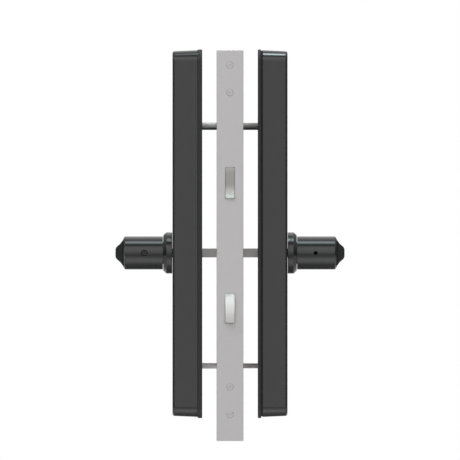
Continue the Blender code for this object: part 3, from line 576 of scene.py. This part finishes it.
def latch_bolt():
    """The nose is hollow: its slope follows NOSE_SLOPE by height, and its depth is the slope's sum."""
    z = np.linspace(LATCH_HIGH, LATCH_LOW, 90)
    heights, degrees = np.array(NOSE_SLOPE, float)[::-1].T
    slope = np.tan(np.radians(np.interp(z, heights, degrees)))
    depth = np.concatenate([[0.0], np.cumsum((slope[1:] + slope[:-1]) / 2 * (z[:-1] - z[1:]))])
    scoop = np.stack([0.25 - depth, z], -1)
    outline = np.concatenate([[(LATCH_BACK, LATCH_LOW), (LATCH_BACK, LATCH_HIGH)], scoop])
    bolt = plate("latch_bolt_surface", outline, -BOLT_HALF, BOLT_HALF, 0.2)
    yoke = softened([(18, 52), (64.9, 52), (64.9, 3.4), (68.9, 3.4), (68.9, 60), (18, 60)], 0.8)
    tail = plate("latch_tail", distinct(yoke), -4.0, -0.6, 0.25)
    # the latch takes the greyer nickel, whose darker colour is painted shade
    return show(join(bolt, tail), "latch_bolt", coat="latch_nickel")


def teeth(centre, pitch_radius, angles, root_half):
    """Corner points of straight-sided module 1 teeth: a half width at a radius is an angle half / radius.

    A tooth reaches 0.8 past the pitch circle and 1.2 inside it. Its tip is pi / 4 wide each side, less 0.2
    for play and less 0.8 of a 20 degree slope, whose tangent is 0.364.
    """
    tip_half = pi / 4 - 0.2 - 0.8 * 0.364
    radii = np.array([pitch_radius - 1.2, pitch_radius + 0.8, pitch_radius + 0.8, pitch_radius - 1.2])
    halves = np.array([-root_half, -tip_half, tip_half, root_half])
    turn = np.asarray(angles)[:, None] + halves / radii
    points = np.stack([centre[0] + radii * np.cos(turn), centre[1] + radii * np.sin(turn)], -1)
    return points.reshape(-1, 2)


def arc(centre, radius, start, end, steps):
    turn = np.radians(np.linspace(start, end, steps))
    return np.stack([centre[0] + radius * np.cos(turn), centre[1] + radius * np.sin(turn)], -1)


def hook_bolt():
    """A back of radius 27 about the pivot, a beak under it, a hub, and a toothed sector behind."""
    y, z = HOOK_AXIS
    spacing = tau / SECTOR_TEETH
    sector = teeth(HOOK_AXIS, SECTOR_TEETH / 2, MESH_ANGLE + np.arange(-1, 8) * spacing, 1.02)
    back = arc(HOOK_AXIS, HOOK_BACK, 95, 186.0, 96)
    corners = [(y - 26.83, z - 3.01), (y - 19.75, z - 3.1), (y - 14.6, z + 3.6), (y - 10.64, z + 1.88)]
    # the first and last corner only aim the beak's sides, so their 7 points each are left out
    beak = softened(corners, (0, 0.8, 2.5, 0), 6)[7:-7]
    outline = distinct(np.concatenate([sector, back, beak, arc(HOOK_AXIS, HOOK_HUB, 170, 306, 48)]))
    hook = plate("hook_bolt_surface", outline, -BOLT_HALF, BOLT_HALF, 0.2)
    bore = rod("hook_bore_cut", "x", (0, y, z), -9, 9, 3.3)
    return show(cut(hook, bore), "hook_bolt")


# The unit on each side of the door


UNIT_LOW, UNIT_HIGH, UNIT_CORNER = (26.0, -153.8), (94.0, 175.4), 9.6
BASE_LOW, BASE_HIGH = (25.4, -154.8), (94.6, 176.0)
WINDOW_LOW, WINDOW_HIGH = (31.7, 25.7), (88.3, 164.3)
RIM, FACE, WALL, DRAFT, FRONT_EDGE = 29.3, 51.6, 1.5, 0.9, 2.0


def housing(name, side):
    """A wall carried round a rounded rectangle: rim, drafted side, front edge, face, window, back inside.

    Each row is (low, high, corner radius, inset, distance from the door's middle), and the rows close on
    themselves. The front edge is a quarter circle of radius 2.
    """
    unit = (UNIT_LOW, UNIT_HIGH, UNIT_CORNER)
    window = (WINDOW_LOW, WINDOW_HIGH, 4.3)
    inset, rise = quarter(FRONT_EDGE, 12)
    rim = RIM if side > 0 else RIM - 0.26
    rows = [(*unit, 0.2, rim), (*unit, 0.06, rim + 0.06), (*unit, 0.0, rim + 0.2)]
    for share in np.linspace(0.02, 1, 8):
        rows.append((*unit, DRAFT * share, RIM + (FACE - FRONT_EDGE - RIM) * share))
    rows += [(*unit, DRAFT + d, FACE - FRONT_EDGE + r) for d, r in zip(inset[1:], rise[1:])]
    rows.append((*unit, DRAFT + FRONT_EDGE + 0.6, FACE))
    lip, drop = quarter(0.3, 4)
    rows.append((*window, -0.6, FACE))
    rows += [(*window, -d, FACE - 0.3 + r) for d, r in zip(lip[::-1], drop[::-1])]
    rows.append((*window, 0.0, FACE - WALL))
    deep, climb = quarter(FRONT_EDGE - WALL + 0.3, 4)
    rows += [
        (*unit, WALL + DRAFT + d, FACE - WALL - (FRONT_EDGE - WALL + 0.3) + r)
        for d, r in zip(deep[::-1], climb[::-1])
    ]
    rows += [(*unit, WALL + 0.05, RIM + 0.6), (*unit, WALL, rim)]
    rings = [at_x(rounded(low, high, corner, d), side * x) for low, high, corner, d, x in rows]
    shell = solid(f"{name}_surface", rings, loop=True)
    y, z = LEVER_AXIS
    span = sorted((side * 45, side * 56))
    cutters = [rod("bore_cut", "x", (0, y, z), *span, 7.0)]
    if side < 0:
        hole = [(7.3, -45), (7.3, -51.3), (7.65, -51.65), (7.65, -56)]
        cutters.append(turned("button_cut", hole, "x", BUTTON, 96))
    return show(cut(shell, *cutters), name)


def base_plate(name, side, face):
    """A pressed plate, its rims rounded 0.5 mm, with holes for the spindle, cable and bolts."""
    outline = rounded(BASE_LOW, BASE_HIGH, 10.2, steps=16)
    low, high = sorted((side * DOOR_HALF, side * face))
    made = plate(f"{name}_surface", outline, low, high, 0.5)
    holes = ((60, -6.6, 7.0), (76, 106, 3.0), (60, 108, 2.8), (60, -108, 2.8))
    cutters = [rod("hole_cut", "x", (0, y, z), low - 1, high + 1, r) for y, z, r in holes]
    return show(cut(made, *cutters), name)


def seal():
    """A rounded strip carried round the unit: its section is a rounded rectangle between two outlines."""
    outer = softened([(27.92, 0.4), (29.28, 0.4), (29.28, 3.5), (27.92, 3.5)], 0.15, 4)
    rings = [at_x(rounded(UNIT_LOW, UNIT_HIGH, UNIT_CORNER, inset), x) for x, inset in outer]
    return show(solid("outer_seal_surface", rings, loop=True), "outer_seal")


PANEL_LOW, PANEL_HIGH, PANEL_FACE, PANEL_EDGE = (32, 26), (88, 164), 51.55, 0.35


def panel(name, side):
    """A plate that fills the window, its front rim rounded."""
    inset, rise = quarter(PANEL_EDGE, 6)
    rows = [(0.1, 50.15), (0.0, 50.25)]
    rows += [(d, PANEL_FACE - PANEL_EDGE + r) for d, r in zip(inset, rise)]
    rings = [at_x(rounded(PANEL_LOW, PANEL_HIGH, 4.0, d, 16), side * x) for d, x in rows]
    return solid(f"{name}_surface", rings)


def battery_cover():
    """The panel with five fine grip lines and a finger notch across its lower edge."""
    cover = panel("battery_cover", -1)
    lines = [bar("grip_cut", (-52, 48, z), (-51.2, 72, z + 0.8), 0.1) for z in np.arange(34, 44, 2.0)]
    dish = [(0.3, -52.2), (6.2, -51.9), (5.2, -50.9), (0.3, -50.8)]
    notch = turned("notch_cut", dish, "x", (0, 60, 25.2), 64)
    show(cut(cover, notch, *lines), "battery_cover")


def rose(name, side):
    """A collar: a straight side, then a chamfer to the lever's neck; its bore closes the profile."""
    profile = [
        (10.3, 51.9),
        (18.4, 51.9),
        (18.6, 52.1),
        (18.6, 56.9),
        (18.5, 57.25),
        (18.3, 57.5),
        (16.45, 59.6),
        (16.2, 59.8),
        (15.9, 59.95),
        (15.2, 60.0),
        (10.3, 60.0),
    ]
    rings = turned_rings([(r, side * x) for r, x in profile], "x", (0, *LEVER_AXIS), 128)
    return show(solid(f"{name}_surface", rings, loop=True), name, sharp=50)


ARM_ROOT, ARM_TIP, ARM_TAPER = 51.2, 180, 0.18


def arm(side):
    """The arm's section is carried along Y, its height falling evenly by 0.18 to the tip; its ends are round.

    Near the root the section leans back, by 0.18 mm for each mm that it lies past X 95.6.
    """
    upper = [(84.0, 9.6), (85.5, 11.65), (95.6, 11.65), (96.7, 10.97)]
    upper += [(98.5, 8.46), (100.3, 6.85), (102.1, 5.24), (102.9, 3.2)]
    radii = [1.0, 1.0, 1.2, 1.5, 6.0, 4.0, 1.2, 1.5]
    section = distinct(softened(upper + [(x, -z) for x, z in upper[::-1]], radii + radii[::-1], 6))
    edge = 0.7
    inset, rise = quarter(edge, 6)
    ys = np.concatenate([ARM_ROOT + edge - rise[::-1], np.linspace(52, 179, 24), ARM_TIP - edge + rise])
    insets = np.concatenate([inset[::-1], np.zeros(24), inset])
    rings = []
    for y, d in zip(ys, insets):
        flat = drawn_in(section, d)
        height = 1 - ARM_TAPER * (y - ARM_ROOT) / (ARM_TIP - ARM_ROOT)
        slope = 0.18 * np.clip((60 - y) / 8.8, 0, 1) * np.maximum(flat[:, 0] - 95.6, 0)
        rings.append(np.stack([side * flat[:, 0], y + slope, LEVER_AXIS[1] + height * flat[:, 1]], -1))
    return solid("arm_part", rings)


def lever(name, side):
    """A neck turned about the spindle's axis, joined to the arm, with a square hole for the spindle."""
    profile = [(10, 52.6), (10, 60.3), (14.9, 60.3), (14.9, 94.3), (13.6, 95.4), (11.0, 96.7), (10.5, 96.7)]
    profile = eased([(r, side * x) for r, x in profile], (0, 0.05, 0.05, 0.3, 0.4, 0.2, 0))
    neck = turned(f"{name}_surface", profile, "x", (0, *LEVER_AXIS), 160)
    join(neck, arm(side))
    y, z = LEVER_AXIS
    low, high = sorted((side * 51.6, side * 88))
    hole = [bar("square_cut", (low, y - 4.3, z - 4.3), (high, y + 4.3, z + 4.3), 0.2)]
    if side < 0:
        mouth = eased([(2.95, -18), (2.95, -14.75), (2.6, -14.4), (2.6, 0)], 0.05)
    else:
        mouth = [(1.8, -18), (1.8, -14.9), (1.7, -14.8), (1.7, -7.6), (0.05, -6.6)]
    hole.append(turned("side_cut", mouth, "y", (side * SIDE_HOLE_X, y, z), 64))
    return show(cut(neck, *hole), name)


def set_screw():
    """A headless screw with a hexagon socket, its thread showing only inside the neck."""
    start, end = 46.5, 55.7
    head = [(1.5, start), (2.1, start), (2.3, start + 0.2), (2.3, start + 0.7)]
    ridge = thread(1.95, 2.3, 0.8, start + 0.8, end - 0.4)
    place = (-SIDE_HOLE_X, 0, LEVER_AXIS[1])
    screw = threaded("lever_set_screw_surface", head, ridge, [(1.6, end)], "y", place)
    socket = hexagon("socket_cut", "y", place, start - 1, start + 2.2, 2.25)
    return show(cut(screw, socket), "lever_set_screw")


BOLT_HEIGHTS = (108.0, -108.0)


def through_bolt(number, z):
    """A cap screw along X: a head with a hexagon socket, a plain shank, then a rolled thread."""
    head = [(2.4, -33.0), (4.0, -33.0), (4.4, -32.7), (4.5, -32.3), (4.5, -29.3), (2.5, -29.3), (2.5, 8.0)]
    ridge = thread(2.1, 2.5, 0.8, 8.5, 26.8)
    bolt = threaded(f"through_bolt_{number}_surface", head, ridge, [(1.9, 27.6)], "x", (0, 60, z))
    socket = hexagon("socket_cut", "x", (0, 60, z), -34, -31, 4.0)
    return show(cut(bolt, socket), f"through_bolt_{number}")


# Inside the case


COVER_SCREWS = ((12, 94), (80, 94), (80, -94), (12, -94))


def case_body():
    """A folded tray, its folds rounded 1 mm, open on one side, with tabs, bosses and a spring post."""
    body = bar("case_body_surface", (-8.2, 2.3, -100), (8, 88, 100), 1.0)
    open_side = bar("open_side_cut", (-12, 0, -105), (-6.2, 92, 105))
    cut(body, open_side, bar("hollow_cut", (-9, 4.3, -98.5), (6.5, 86.5, 98.5), 0.6))
    tabs = [bar("tab", (-6, 2.3, low), (7, 6.5, high), 0.5) for low, high in ((98.6, 143), (-133, -98.6))]
    bosses = [rod("boss", "x", (0, y, z), -6.2, 7, 3.2) for y, z in COVER_SCREWS]
    join(body, bar("spring_post", (0.2, 48.5, 52), (7, 51.5, 60), 0.4), *tabs, *bosses)
    holes = [rod("boss_hole_cut", "x", (0, y, z), -9, 5, 1.6, 32) for y, z in COVER_SCREWS]
    holes += [rod("tab_hole_cut", "y", (0, 0, z), 1, 8, 2.3, 48) for z in SCREW_HEIGHTS[1:3]]
    holes.append(rod("spindle_cut", "x", (0, *LEVER_AXIS), 5, 9, 6.4))
    holes.append(bar("latch_slot_cut", (-4.9, 1, 42.0), (4.9, 5, 70.3), 0.2))
    holes.append(bar("hook_slot_cut", (-4.9, 1, -72.6), (4.9, 5, -41.0), 0.2))
    show(cut(body, *holes), "case_body")


def case_cover():
    """A pressed sheet, its rims rounded 0.3 mm, with the spindle's hole and one for each screw."""
    cover = bar("case_cover_surface", (-8, 2.3, -100), (-6.5, 88, 100), 0.3)
    holes = [rod("screw_cut", "x", (0, y, z), -9, -5, 1.6, 32) for y, z in COVER_SCREWS]
    show(cut(cover, rod("spindle_cut", "x", (0, *LEVER_AXIS), -9, -5, 6.4), *holes), "case_cover")


def cover_screw(number, y, z):
    """A pan head, radius falling off as it rises, with a slot across it and a fine thread."""
    head = [(0.4, -9.72), (1.3, -9.68), (2.1, -9.5), (2.6, -9.2), (2.8, -8.8), (2.8, -8.3), (1.3, -8.3)]
    ridge = thread(1.05, 1.3, 0.5, -8.0, -0.6, 32)
    screw = threaded(f"cover_screw_{number}_surface", head, ridge, [(0.8, 0.0)], "x", (0, y, z))
    slot = bar("driver_cut", (-12, y - 3, z - 0.3), (-9.1, y + 3, z + 0.3), 0.05)
    show(cut(screw, slot), f"cover_screw_{number}")


def spindle(name, side):
    """A square bar, its long edges rounded 0.5 mm, with both ends eased."""
    low, high = sorted((side * 0.6, side * 87))
    y, z = LEVER_AXIS
    show(bar(f"{name}_surface", (low, y - 4, z - 4), (high, y + 4, z + 4), 0.5), name)


def follower(name, side):
    """A hub of radius 9 with one arm that points up and a square hole."""
    y, z = LEVER_AXIS
    arm_end = softened([(y + 4, z + 13), (y - 4, z + 13), (y - 4, z + 8.1), (y + 4, z + 8.1)], 0.8, 4)[:10]
    outline = distinct(np.concatenate([arm_end, arc(LEVER_AXIS, 9, 116, 424, 72)]))
    low, high = sorted((side * 0.2, side * 5.9))
    made = plate(f"{name}_surface", outline, low, high, 0.3)
    square = bar("square_cut", (low - 1, y - 4.3, z - 4.3), (high + 1, y + 4.3, z + 4.3), 0.2)
    show(cut(made, square), name)


def pivot_pin():
    """A turned pin with both ends chamfered 0.4 mm."""
    ends = [(2.6, -5.9), (3.0, -5.5), (3.0, 5.8), (2.6, 6.2)]
    show(turned("hook_pivot_pin_surface", ends, "x", (0, *HOOK_AXIS), 64), "hook_pivot_pin")


def pinion():
    """Twelve straight-sided teeth on a shaft that is turned with them."""
    angles = MESH_ANGLE + pi + (np.arange(PINION_TEETH) + 0.5) * tau / PINION_TEETH
    outline = teeth(PINION_AXIS, PINION_TEETH / 2, angles, 0.8)
    gear = plate("drive_pinion_surface", outline, -3, 3, 0.12)
    shaft = [(1.3, -5.6), (1.5, -5.4), (1.5, 6.0), (1.3, 6.2)]
    show(join(gear, turned("pinion_shaft", shaft, "x", (0, *PINION_AXIS), 48)), "drive_pinion")


def gear_motor():
    """A flat gearbox with rounded edges, its end block, and the motor's can with a boss behind."""
    y, z = PINION_AXIS
    box = bar("hook_gear_motor_surface", (-5.9, 29.6, z - 8), (-3.3, 48, z + 4.4), 0.5)
    end = bar("gearbox_end", (-5.9, 42, z - 8), (5.6, 50, z + 4.4), 0.7)
    can = [(5.3, 49), (5.7, 49.4), (5.7, 72.9), (4.6, 74.0), (2.2, 74.0), (2.2, 75.6), (1.8, 76.0)]
    join(box, end, turned("motor_can", can, "y", (-0.1, 0, z), 64))
    show(cut(box, rod("shaft_cut", "x", (0, y, z), -9, -2, 1.8, 48)), "hook_gear_motor")


# Behind the battery cover and the keypad


def battery_tray():
    """A moulded box, open outwards, its outer edges rounded 0.8 mm."""
    tray = bar("battery_tray_surface", (-43, 28.9, 114), (-30.5, 91.1, 165), 0.8)
    hollow = bar("tray_cut", (-46, 29.9, 115.2), (-33.7, 90.1, 163.8), 0.5)
    show(cut(tray, hollow), "battery_tray")


CELL_X, CELL_MIDDLE, CELL_PITCH = -41.3, 139.5, 14.95


def battery_cell(number, y, up):
    """A can with a rolled shoulder, a raised button on one end and a dished foot on the other."""
    button = [(0.3, 24.0), (2.3, 24.0), (2.7, 23.8), (2.7, 22.8)]
    shoulder = [(5.8, 22.8), (6.6, 22.6), (7.1, 22.1), (7.2, 21.6)]
    foot = [(7.2, -23.2), (7.0, -23.7), (6.6, -24.0), (5.4, -24.0), (5.2, -23.7), (0.3, -23.7)]
    profile = button + shoulder + foot
    placed = [(r, up * h) for r, h in profile]
    cell = turned(f"battery_cell_{number}_surface", placed, "z", (CELL_X, y, CELL_MIDDLE), 64)
    show(cell, f"battery_cell_{number}")
    paint(cell, "cell_end", lambda at: up * (at[:, 2] - CELL_MIDDLE) > 15.5)
    paint(cell, "bright_steel", lambda at: abs(at[:, 2] - CELL_MIDDLE) > 22.4)


def board(name, low, high, parts):
    """A circuit board, with each component beside it as a small moulded body (name, low, high)."""
    show(bar(f"{name}_surface", low, high, 0.1), name)
    for label, start, end in parts:
        body = bar(label, start, end, 0.25)
        show(body, (), slot="tray_plastic", body=BODY_OF[name])


def boards():
    """The keypad's board with its chip and socket, and the control board with chip, relay and socket."""
    face = 49.75
    parts = [
        ("keypad_socket", (face - 5, 72, 115), (face - 1.6, 80, 121)),
        ("keypad_chip", (face - 3, 52, 66), (face - 1.6, 60, 74)),
    ]
    board("keypad_board", (face - 1.6, 34, 30), (face, 86, 160), parts)
    face = -36.0
    parts = [
        ("control_chip", (face - 1.6, 50, 50), (face, 66, 66)),
        ("control_relay", (face - 8, 36, 76), (face, 48, 94)),
        ("control_socket", (face - 3, 70, 84), (face, 84, 90)),
    ]
    board("control_board", (face, 32, 28), (face + 1.6, 88, 113), parts)


def link_cable():
    """A round tube, radius 2, along a path that rises by (1 - cos) / 2 over its last stretch."""
    start, bend, end, rise = -34.1, 29.0, 43.9, 12.0
    x = np.concatenate([np.linspace(start, bend, 12)[:-1], np.linspace(bend, end, 40)])
    share = np.clip((x - bend) / (end - bend), 0, 1)
    path = np.stack([x, np.full_like(x, 76.0), 106 + rise * (1 - np.cos(pi * share)) / 2], -1)
    ahead = np.gradient(path, axis=0)
    ahead /= np.linalg.norm(ahead, axis=1, keepdims=True)
    side = np.array((0.0, 1.0, 0.0))
    up = np.cross(ahead, side)
    turn = np.linspace(0, tau, 32, endpoint=False)[None, :, None]
    rings = path[:, None] + 2.0 * (np.cos(turn) * side + np.sin(turn) * up[:, None])
    return show(solid("link_cable_surface", rings), "link_cable")


def latch_spring():
    """A round wire, radius 0.45, wound 7 turns of radius 2.55: (cos t, sin t) across, t / 14 pi along Y."""
    turns = 7
    share = np.linspace(0, 1, turns * 36 + 1)
    t = turns * tau * share
    path = np.stack([2.9 + 2.55 * np.cos(t), 22.9 + 24.7 * share, 56 + 2.55 * np.sin(t)], -1)
    ahead = np.gradient(path, axis=0)
    ahead /= np.linalg.norm(ahead, axis=1, keepdims=True)
    outward = np.stack([np.cos(t), np.zeros_like(t), np.sin(t)], -1)
    across = np.cross(ahead, outward)
    turn = np.linspace(0, tau, 12, endpoint=False)[None, :, None]
    rings = path[:, None] + 0.45 * (np.cos(turn) * outward[:, None] + np.sin(turn) * across[:, None])
    spring = show(solid("latch_spring_surface", rings), "latch_spring")
    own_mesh(spring)


def lock_button():
    """A turned button with a shallow dish, and the flange that keeps it in."""
    dish = [(r, 51.4 - 0.5 * (1 - (r / 6.0) ** 2)) for r in np.linspace(0.4, 6.0, 14)]
    profile = dish + [(6.4, 51.4), (6.85, 51.25), (7.0, 50.9), (7.0, 49.8)]
    profile += [(8.4, 49.8), (8.5, 49.7), (8.5, 48.7), (8.4, 48.6)]
    rings = turned_rings([(r, -x) for r, x in profile], "x", BUTTON, 96)
    return show(solid("lock_button_surface", rings), "lock_button")


def keypad_marks():
    """Ten digits and two plain signs, printed under the glass and shown just over it."""
    marks = (("1", "2", "3"), ("4", "5", "6"), ("7", "8", "9"), ("*", "0", "#"))
    ink = finish("screen_print_grey", "#b9bec2", 0.0, 0.4, 2.0)
    meshes = []
    bm = bmesh.new()
    for row, line in enumerate(marks):
        for column, sign in enumerate(line):
            words = bpy.data.curves.new("sign", "FONT")
            words.body = sign
            words.size = 9 * MM
            words.align_x = "CENTER"
            words.align_y = "CENTER"
            words.extrude = 0.01 * MM
            guide = bpy.data.objects.new("sign", words)
            bpy.context.scene.collection.objects.link(guide)
            bpy.context.view_layer.update()
            graph = bpy.context.evaluated_depsgraph_get()
            shape = bpy.data.meshes.new_from_object(guide.evaluated_get(graph))
            count = len(shape.vertices)
            flat = np.empty(count * 3)
            shape.vertices.foreach_get("co", flat)
            flat = flat.reshape(-1, 3)
            flat[:, :2] -= (flat[:, :2].max(0) + flat[:, :2].min(0)) / 2
            y = (60 + (column - 1) * 15.5) * MM
            z = (137 - row * 24) * MM
            placed = np.stack([51.565 * MM + flat[:, 2], y + flat[:, 0], z + flat[:, 1]], -1)
            shape.vertices.foreach_set("co", placed.ravel())
            bm.from_mesh(shape)
            bpy.data.objects.remove(guide)
            bpy.data.curves.remove(words)
            meshes.append(shape)
    bmesh.ops.remove_doubles(bm, verts=bm.verts, dist=1e-7)
    bmesh.ops.recalc_face_normals(bm, faces=bm.faces)
    printed = bpy.data.meshes.new("keypad_marks")
    bm.to_mesh(printed)
    bm.free()
    for shape in meshes:
        bpy.data.meshes.remove(shape)
    piece = bpy.data.objects.new("keypad_marks", printed)
    bpy.context.scene.collection.objects.link(piece)
    printed.materials.append(ink)
    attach(piece, "lock_frame")


for name, item in NODES.items():
    for k in range(len(item.material_slots)):
        item.material_slots[k].material = FINISHES[SLOT_OF[name]]

faceplate()
for number, screw in enumerate(zip(SCREW_HEIGHTS, SCREW_LENGTHS, SCREW_PITCHES), 1):
    face_screw(number, *screw)
latch_bolt()
hook_bolt()
base_plate("outer_base_plate", 1, 27.9)
base_plate("inner_base_plate", -1, 29.0)
seal()
housing("outer_housing", 1)
housing("inner_housing", -1)
show(panel("touch_panel", 1), "touch_panel")
keypad_marks()
battery_cover()
for name, side in (("outer", 1), ("inner", -1)):
    rose(f"{name}_rose", side)
    lever(f"{name}_lever", side)
set_screw()
for number, z in enumerate(BOLT_HEIGHTS, 1):
    through_bolt(number, z)
link_cable()
latch_spring()
lock_button()

case_body()
case_cover()
for number, (y, z) in enumerate(COVER_SCREWS, 1):
    cover_screw(number, y, z)
for name, side in (("outer", 1), ("inner", -1)):
    spindle(f"{name}_spindle", side)
    follower(f"{name}_follower", side)
pivot_pin()
pinion()
gear_motor()
battery_tray()
for number in range(4):
    battery_cell(number + 1, 60 + (number - 1.5) * CELL_PITCH, 1 if number % 2 else -1)
boards()


# Floor, light and camera


def floor():
    """A pale matt floor 6 m each way, half a metre down."""
    half, drop = 6000, -500
    mesh = bpy.data.meshes.new("studio_floor")
    corners = np.array([(-half, -half, drop), (half, -half, drop), (half, half, drop), (-half, half, drop)])
    mesh.from_pydata((corners * MM).tolist(), [], [(0, 1, 2, 3)])
    made = bpy.data.objects.new("studio_floor", mesh)
    bpy.context.scene.collection.objects.link(made)
    paper = finish("matt_paper", "#f2f1ef", 0.0, 0.9, 40.0, shade=0.01, spread=0.02, relief=0.0)
    mesh.materials.append(paper)
    made.visible_glossy = False


# Brightness of the studio by the angle round the X axis: 0 is straight out in front of the latch edge,
# 90 overhead, 180 behind and -90 below.
BANDS = (
    (-180, 1.3),
    (-162, 0.8),
    (-145, 0.2),
    (-118, 0.25),
    (-98, 0.48),
    (-84, 0.75),
    (-72, 1.65),
    (-58, 2.4),
    (-44, 2.4),
    (-34, 1.7),
    (-24, 1.0),
    (-14, 0.82),
    (-6, 1.2),
    (2, 1.75),
    (12, 2.2),
    (24, 2.55),
    (36, 2.5),
    (44, 1.9),
    (50, 1.0),
    (55, 0.4),
    (66, 0.5),
    (74, 1.1),
    (96, 1.1),
    (104, 1.2),
    (114, 1.8),
    (130, 2.1),
    (150, 1.3),
    (180, 1.3),
)
# Share of the strip light by the same angle, then its strength in the middle of X, and what is added on
# the keypad side.
STRIP = ((61, 0.0), (66, 0.2), (72, 0.8), (78, 1.0), (84, 0.75), (90, 0.3), (95, 0.05), (99, 0.0))
STRIP_MIDDLE, STRIP_END = 6.5, 16.0
# what all of it is multiplied by
ROOM = 0.68


def studio():
    """The world: white to the eye, and to all else the bands above with a strip light overhead.

    Towards both ends of X the bands give way to a gradient that is dark at the level and brighter above
    and below, with a bright card on the inner side, a little behind.
    """
    world = bpy.data.worlds.new("studio")
    bpy.context.scene.world = world
    world.use_nodes = True
    tree = world.node_tree
    tree.nodes.clear()

    def maths(operation, first, second=0.0):
        return node(tree, "ShaderNodeMath", {0: first, 1: second}, operation=operation).outputs[0]

    def between(value, start, end, low=0.0, high=1.0, shape="SMOOTHSTEP"):
        sockets = {"Value": value, "From Min": start, "From Max": end, "To Min": low, "To Max": high}
        return node(tree, "ShaderNodeMapRange", sockets, interpolation_type=shape).outputs["Result"]

    way = node(tree, "ShaderNodeTexCoord")
    parts = node(tree, "ShaderNodeSeparateXYZ", {"Vector": way.outputs["Generated"]})
    x, y, z = parts.outputs
    angle = maths("ARCTAN2", z, maths("MULTIPLY", y, -1.0))
    turn = between(angle, -pi, pi, shape="LINEAR")
    top = max(value for _, value in BANDS)
    bands = ramp(tree, turn, [((a + 180) / 360, value / top) for a, value in BANDS]).outputs["Color"]
    aside = between(maths("ABSOLUTE", x), 0.12, 0.3)
    card = maths("MULTIPLY", between(x, -0.9, -0.96, 0.0, 1.4), between(y, 0.05, 0.2))
    ends = maths("ADD", between(z, 0.05, 0.9, 0.12, 1.2, "LINEAR"), card)
    ends = maths("ADD", ends, between(z, -0.1, -0.24, 0.0, 1.0))
    room = node(
        tree, "ShaderNodeMix", {"Factor": aside, "A": maths("MULTIPLY", bands, top), "B": ends}
    ).outputs["Result"]
    strip = ramp(tree, turn, [((a + 180) / 360, value) for a, value in STRIP]).outputs["Color"]
    rising = between(x, -0.13, 0.01, 0.0, STRIP_MIDDLE, "LINEAR")
    rising = maths("ADD", rising, between(x, 0.01, 0.08, 0.0, STRIP_END))
    strip = maths("MULTIPLY", maths("MULTIPLY", strip, rising), between(x, 0.11, 0.17, 1.0, 0.0))
    cool = {0: maths("MINIMUM", strip, 1.0), 6: (1, 1, 1, 1), 7: (0.84, 0.98, 1.0, 1)}
    colour = node(tree, "ShaderNodeMix", cool, data_type="RGBA")
    light = maths("MULTIPLY", maths("ADD", room, strip), ROOM)
    lit = node(tree, "ShaderNodeBackground", {"Color": colour.outputs[2], "Strength": light})
    paper = node(tree, "ShaderNodeBackground", {"Color": (1, 1, 1, 1), "Strength": 1.0})
    eye = node(tree, "ShaderNodeLightPath").outputs["Is Camera Ray"]
    choice = node(tree, "ShaderNodeMixShader", {0: eye, 1: lit.outputs[0], 2: paper.outputs[0]})
    node(tree, "ShaderNodeOutputWorld", {"Surface": choice.outputs[0]})


def lamp(name, place, size, watts, seen=True):
    """A square soft light aimed at the object; seen says whether glossy surfaces mirror it."""
    data = bpy.data.lights.new(name, "AREA")
    data.size = size
    data.energy = watts
    made = bpy.data.objects.new(name, data)
    made.location = place
    made.rotation_euler = (-Vector(place)).to_track_quat("-Z", "Y").to_euler()
    made.visible_glossy = seen
    made.visible_camera = False
    bpy.context.scene.collection.objects.link(made)


floor()
studio()
lamp("key", (-0.9, -1.6, 1.3), 0.5, 7)
lamp("fill_right", (2.0, 0.9, 0.9), 1.4, 26, seen=False)
lamp("fill_left", (-2.0, 0.9, 0.9), 1.4, 26, seen=False)
lamp("fill_back", (0.4, 2.4, 0.8), 1.4, 34, seen=False)

# a long lens: its distance is such that the view is FIELD metres wide at the origin
LENS, SENSOR, FIELD = 1500.0, 36.0, 0.4119
camera = bpy.data.objects.new("camera", bpy.data.cameras.new("camera"))
camera.data.lens = LENS
camera.data.sensor_width = SENSOR
camera.data.clip_end = 100
camera.location = (0, -FIELD * LENS / SENSOR, 0.014)
camera.rotation_euler = (pi / 2, 0, 0)
bpy.context.scene.collection.objects.link(camera)
bpy.context.scene.camera = camera
bpy.context.scene.view_settings.view_transform = "Standard"
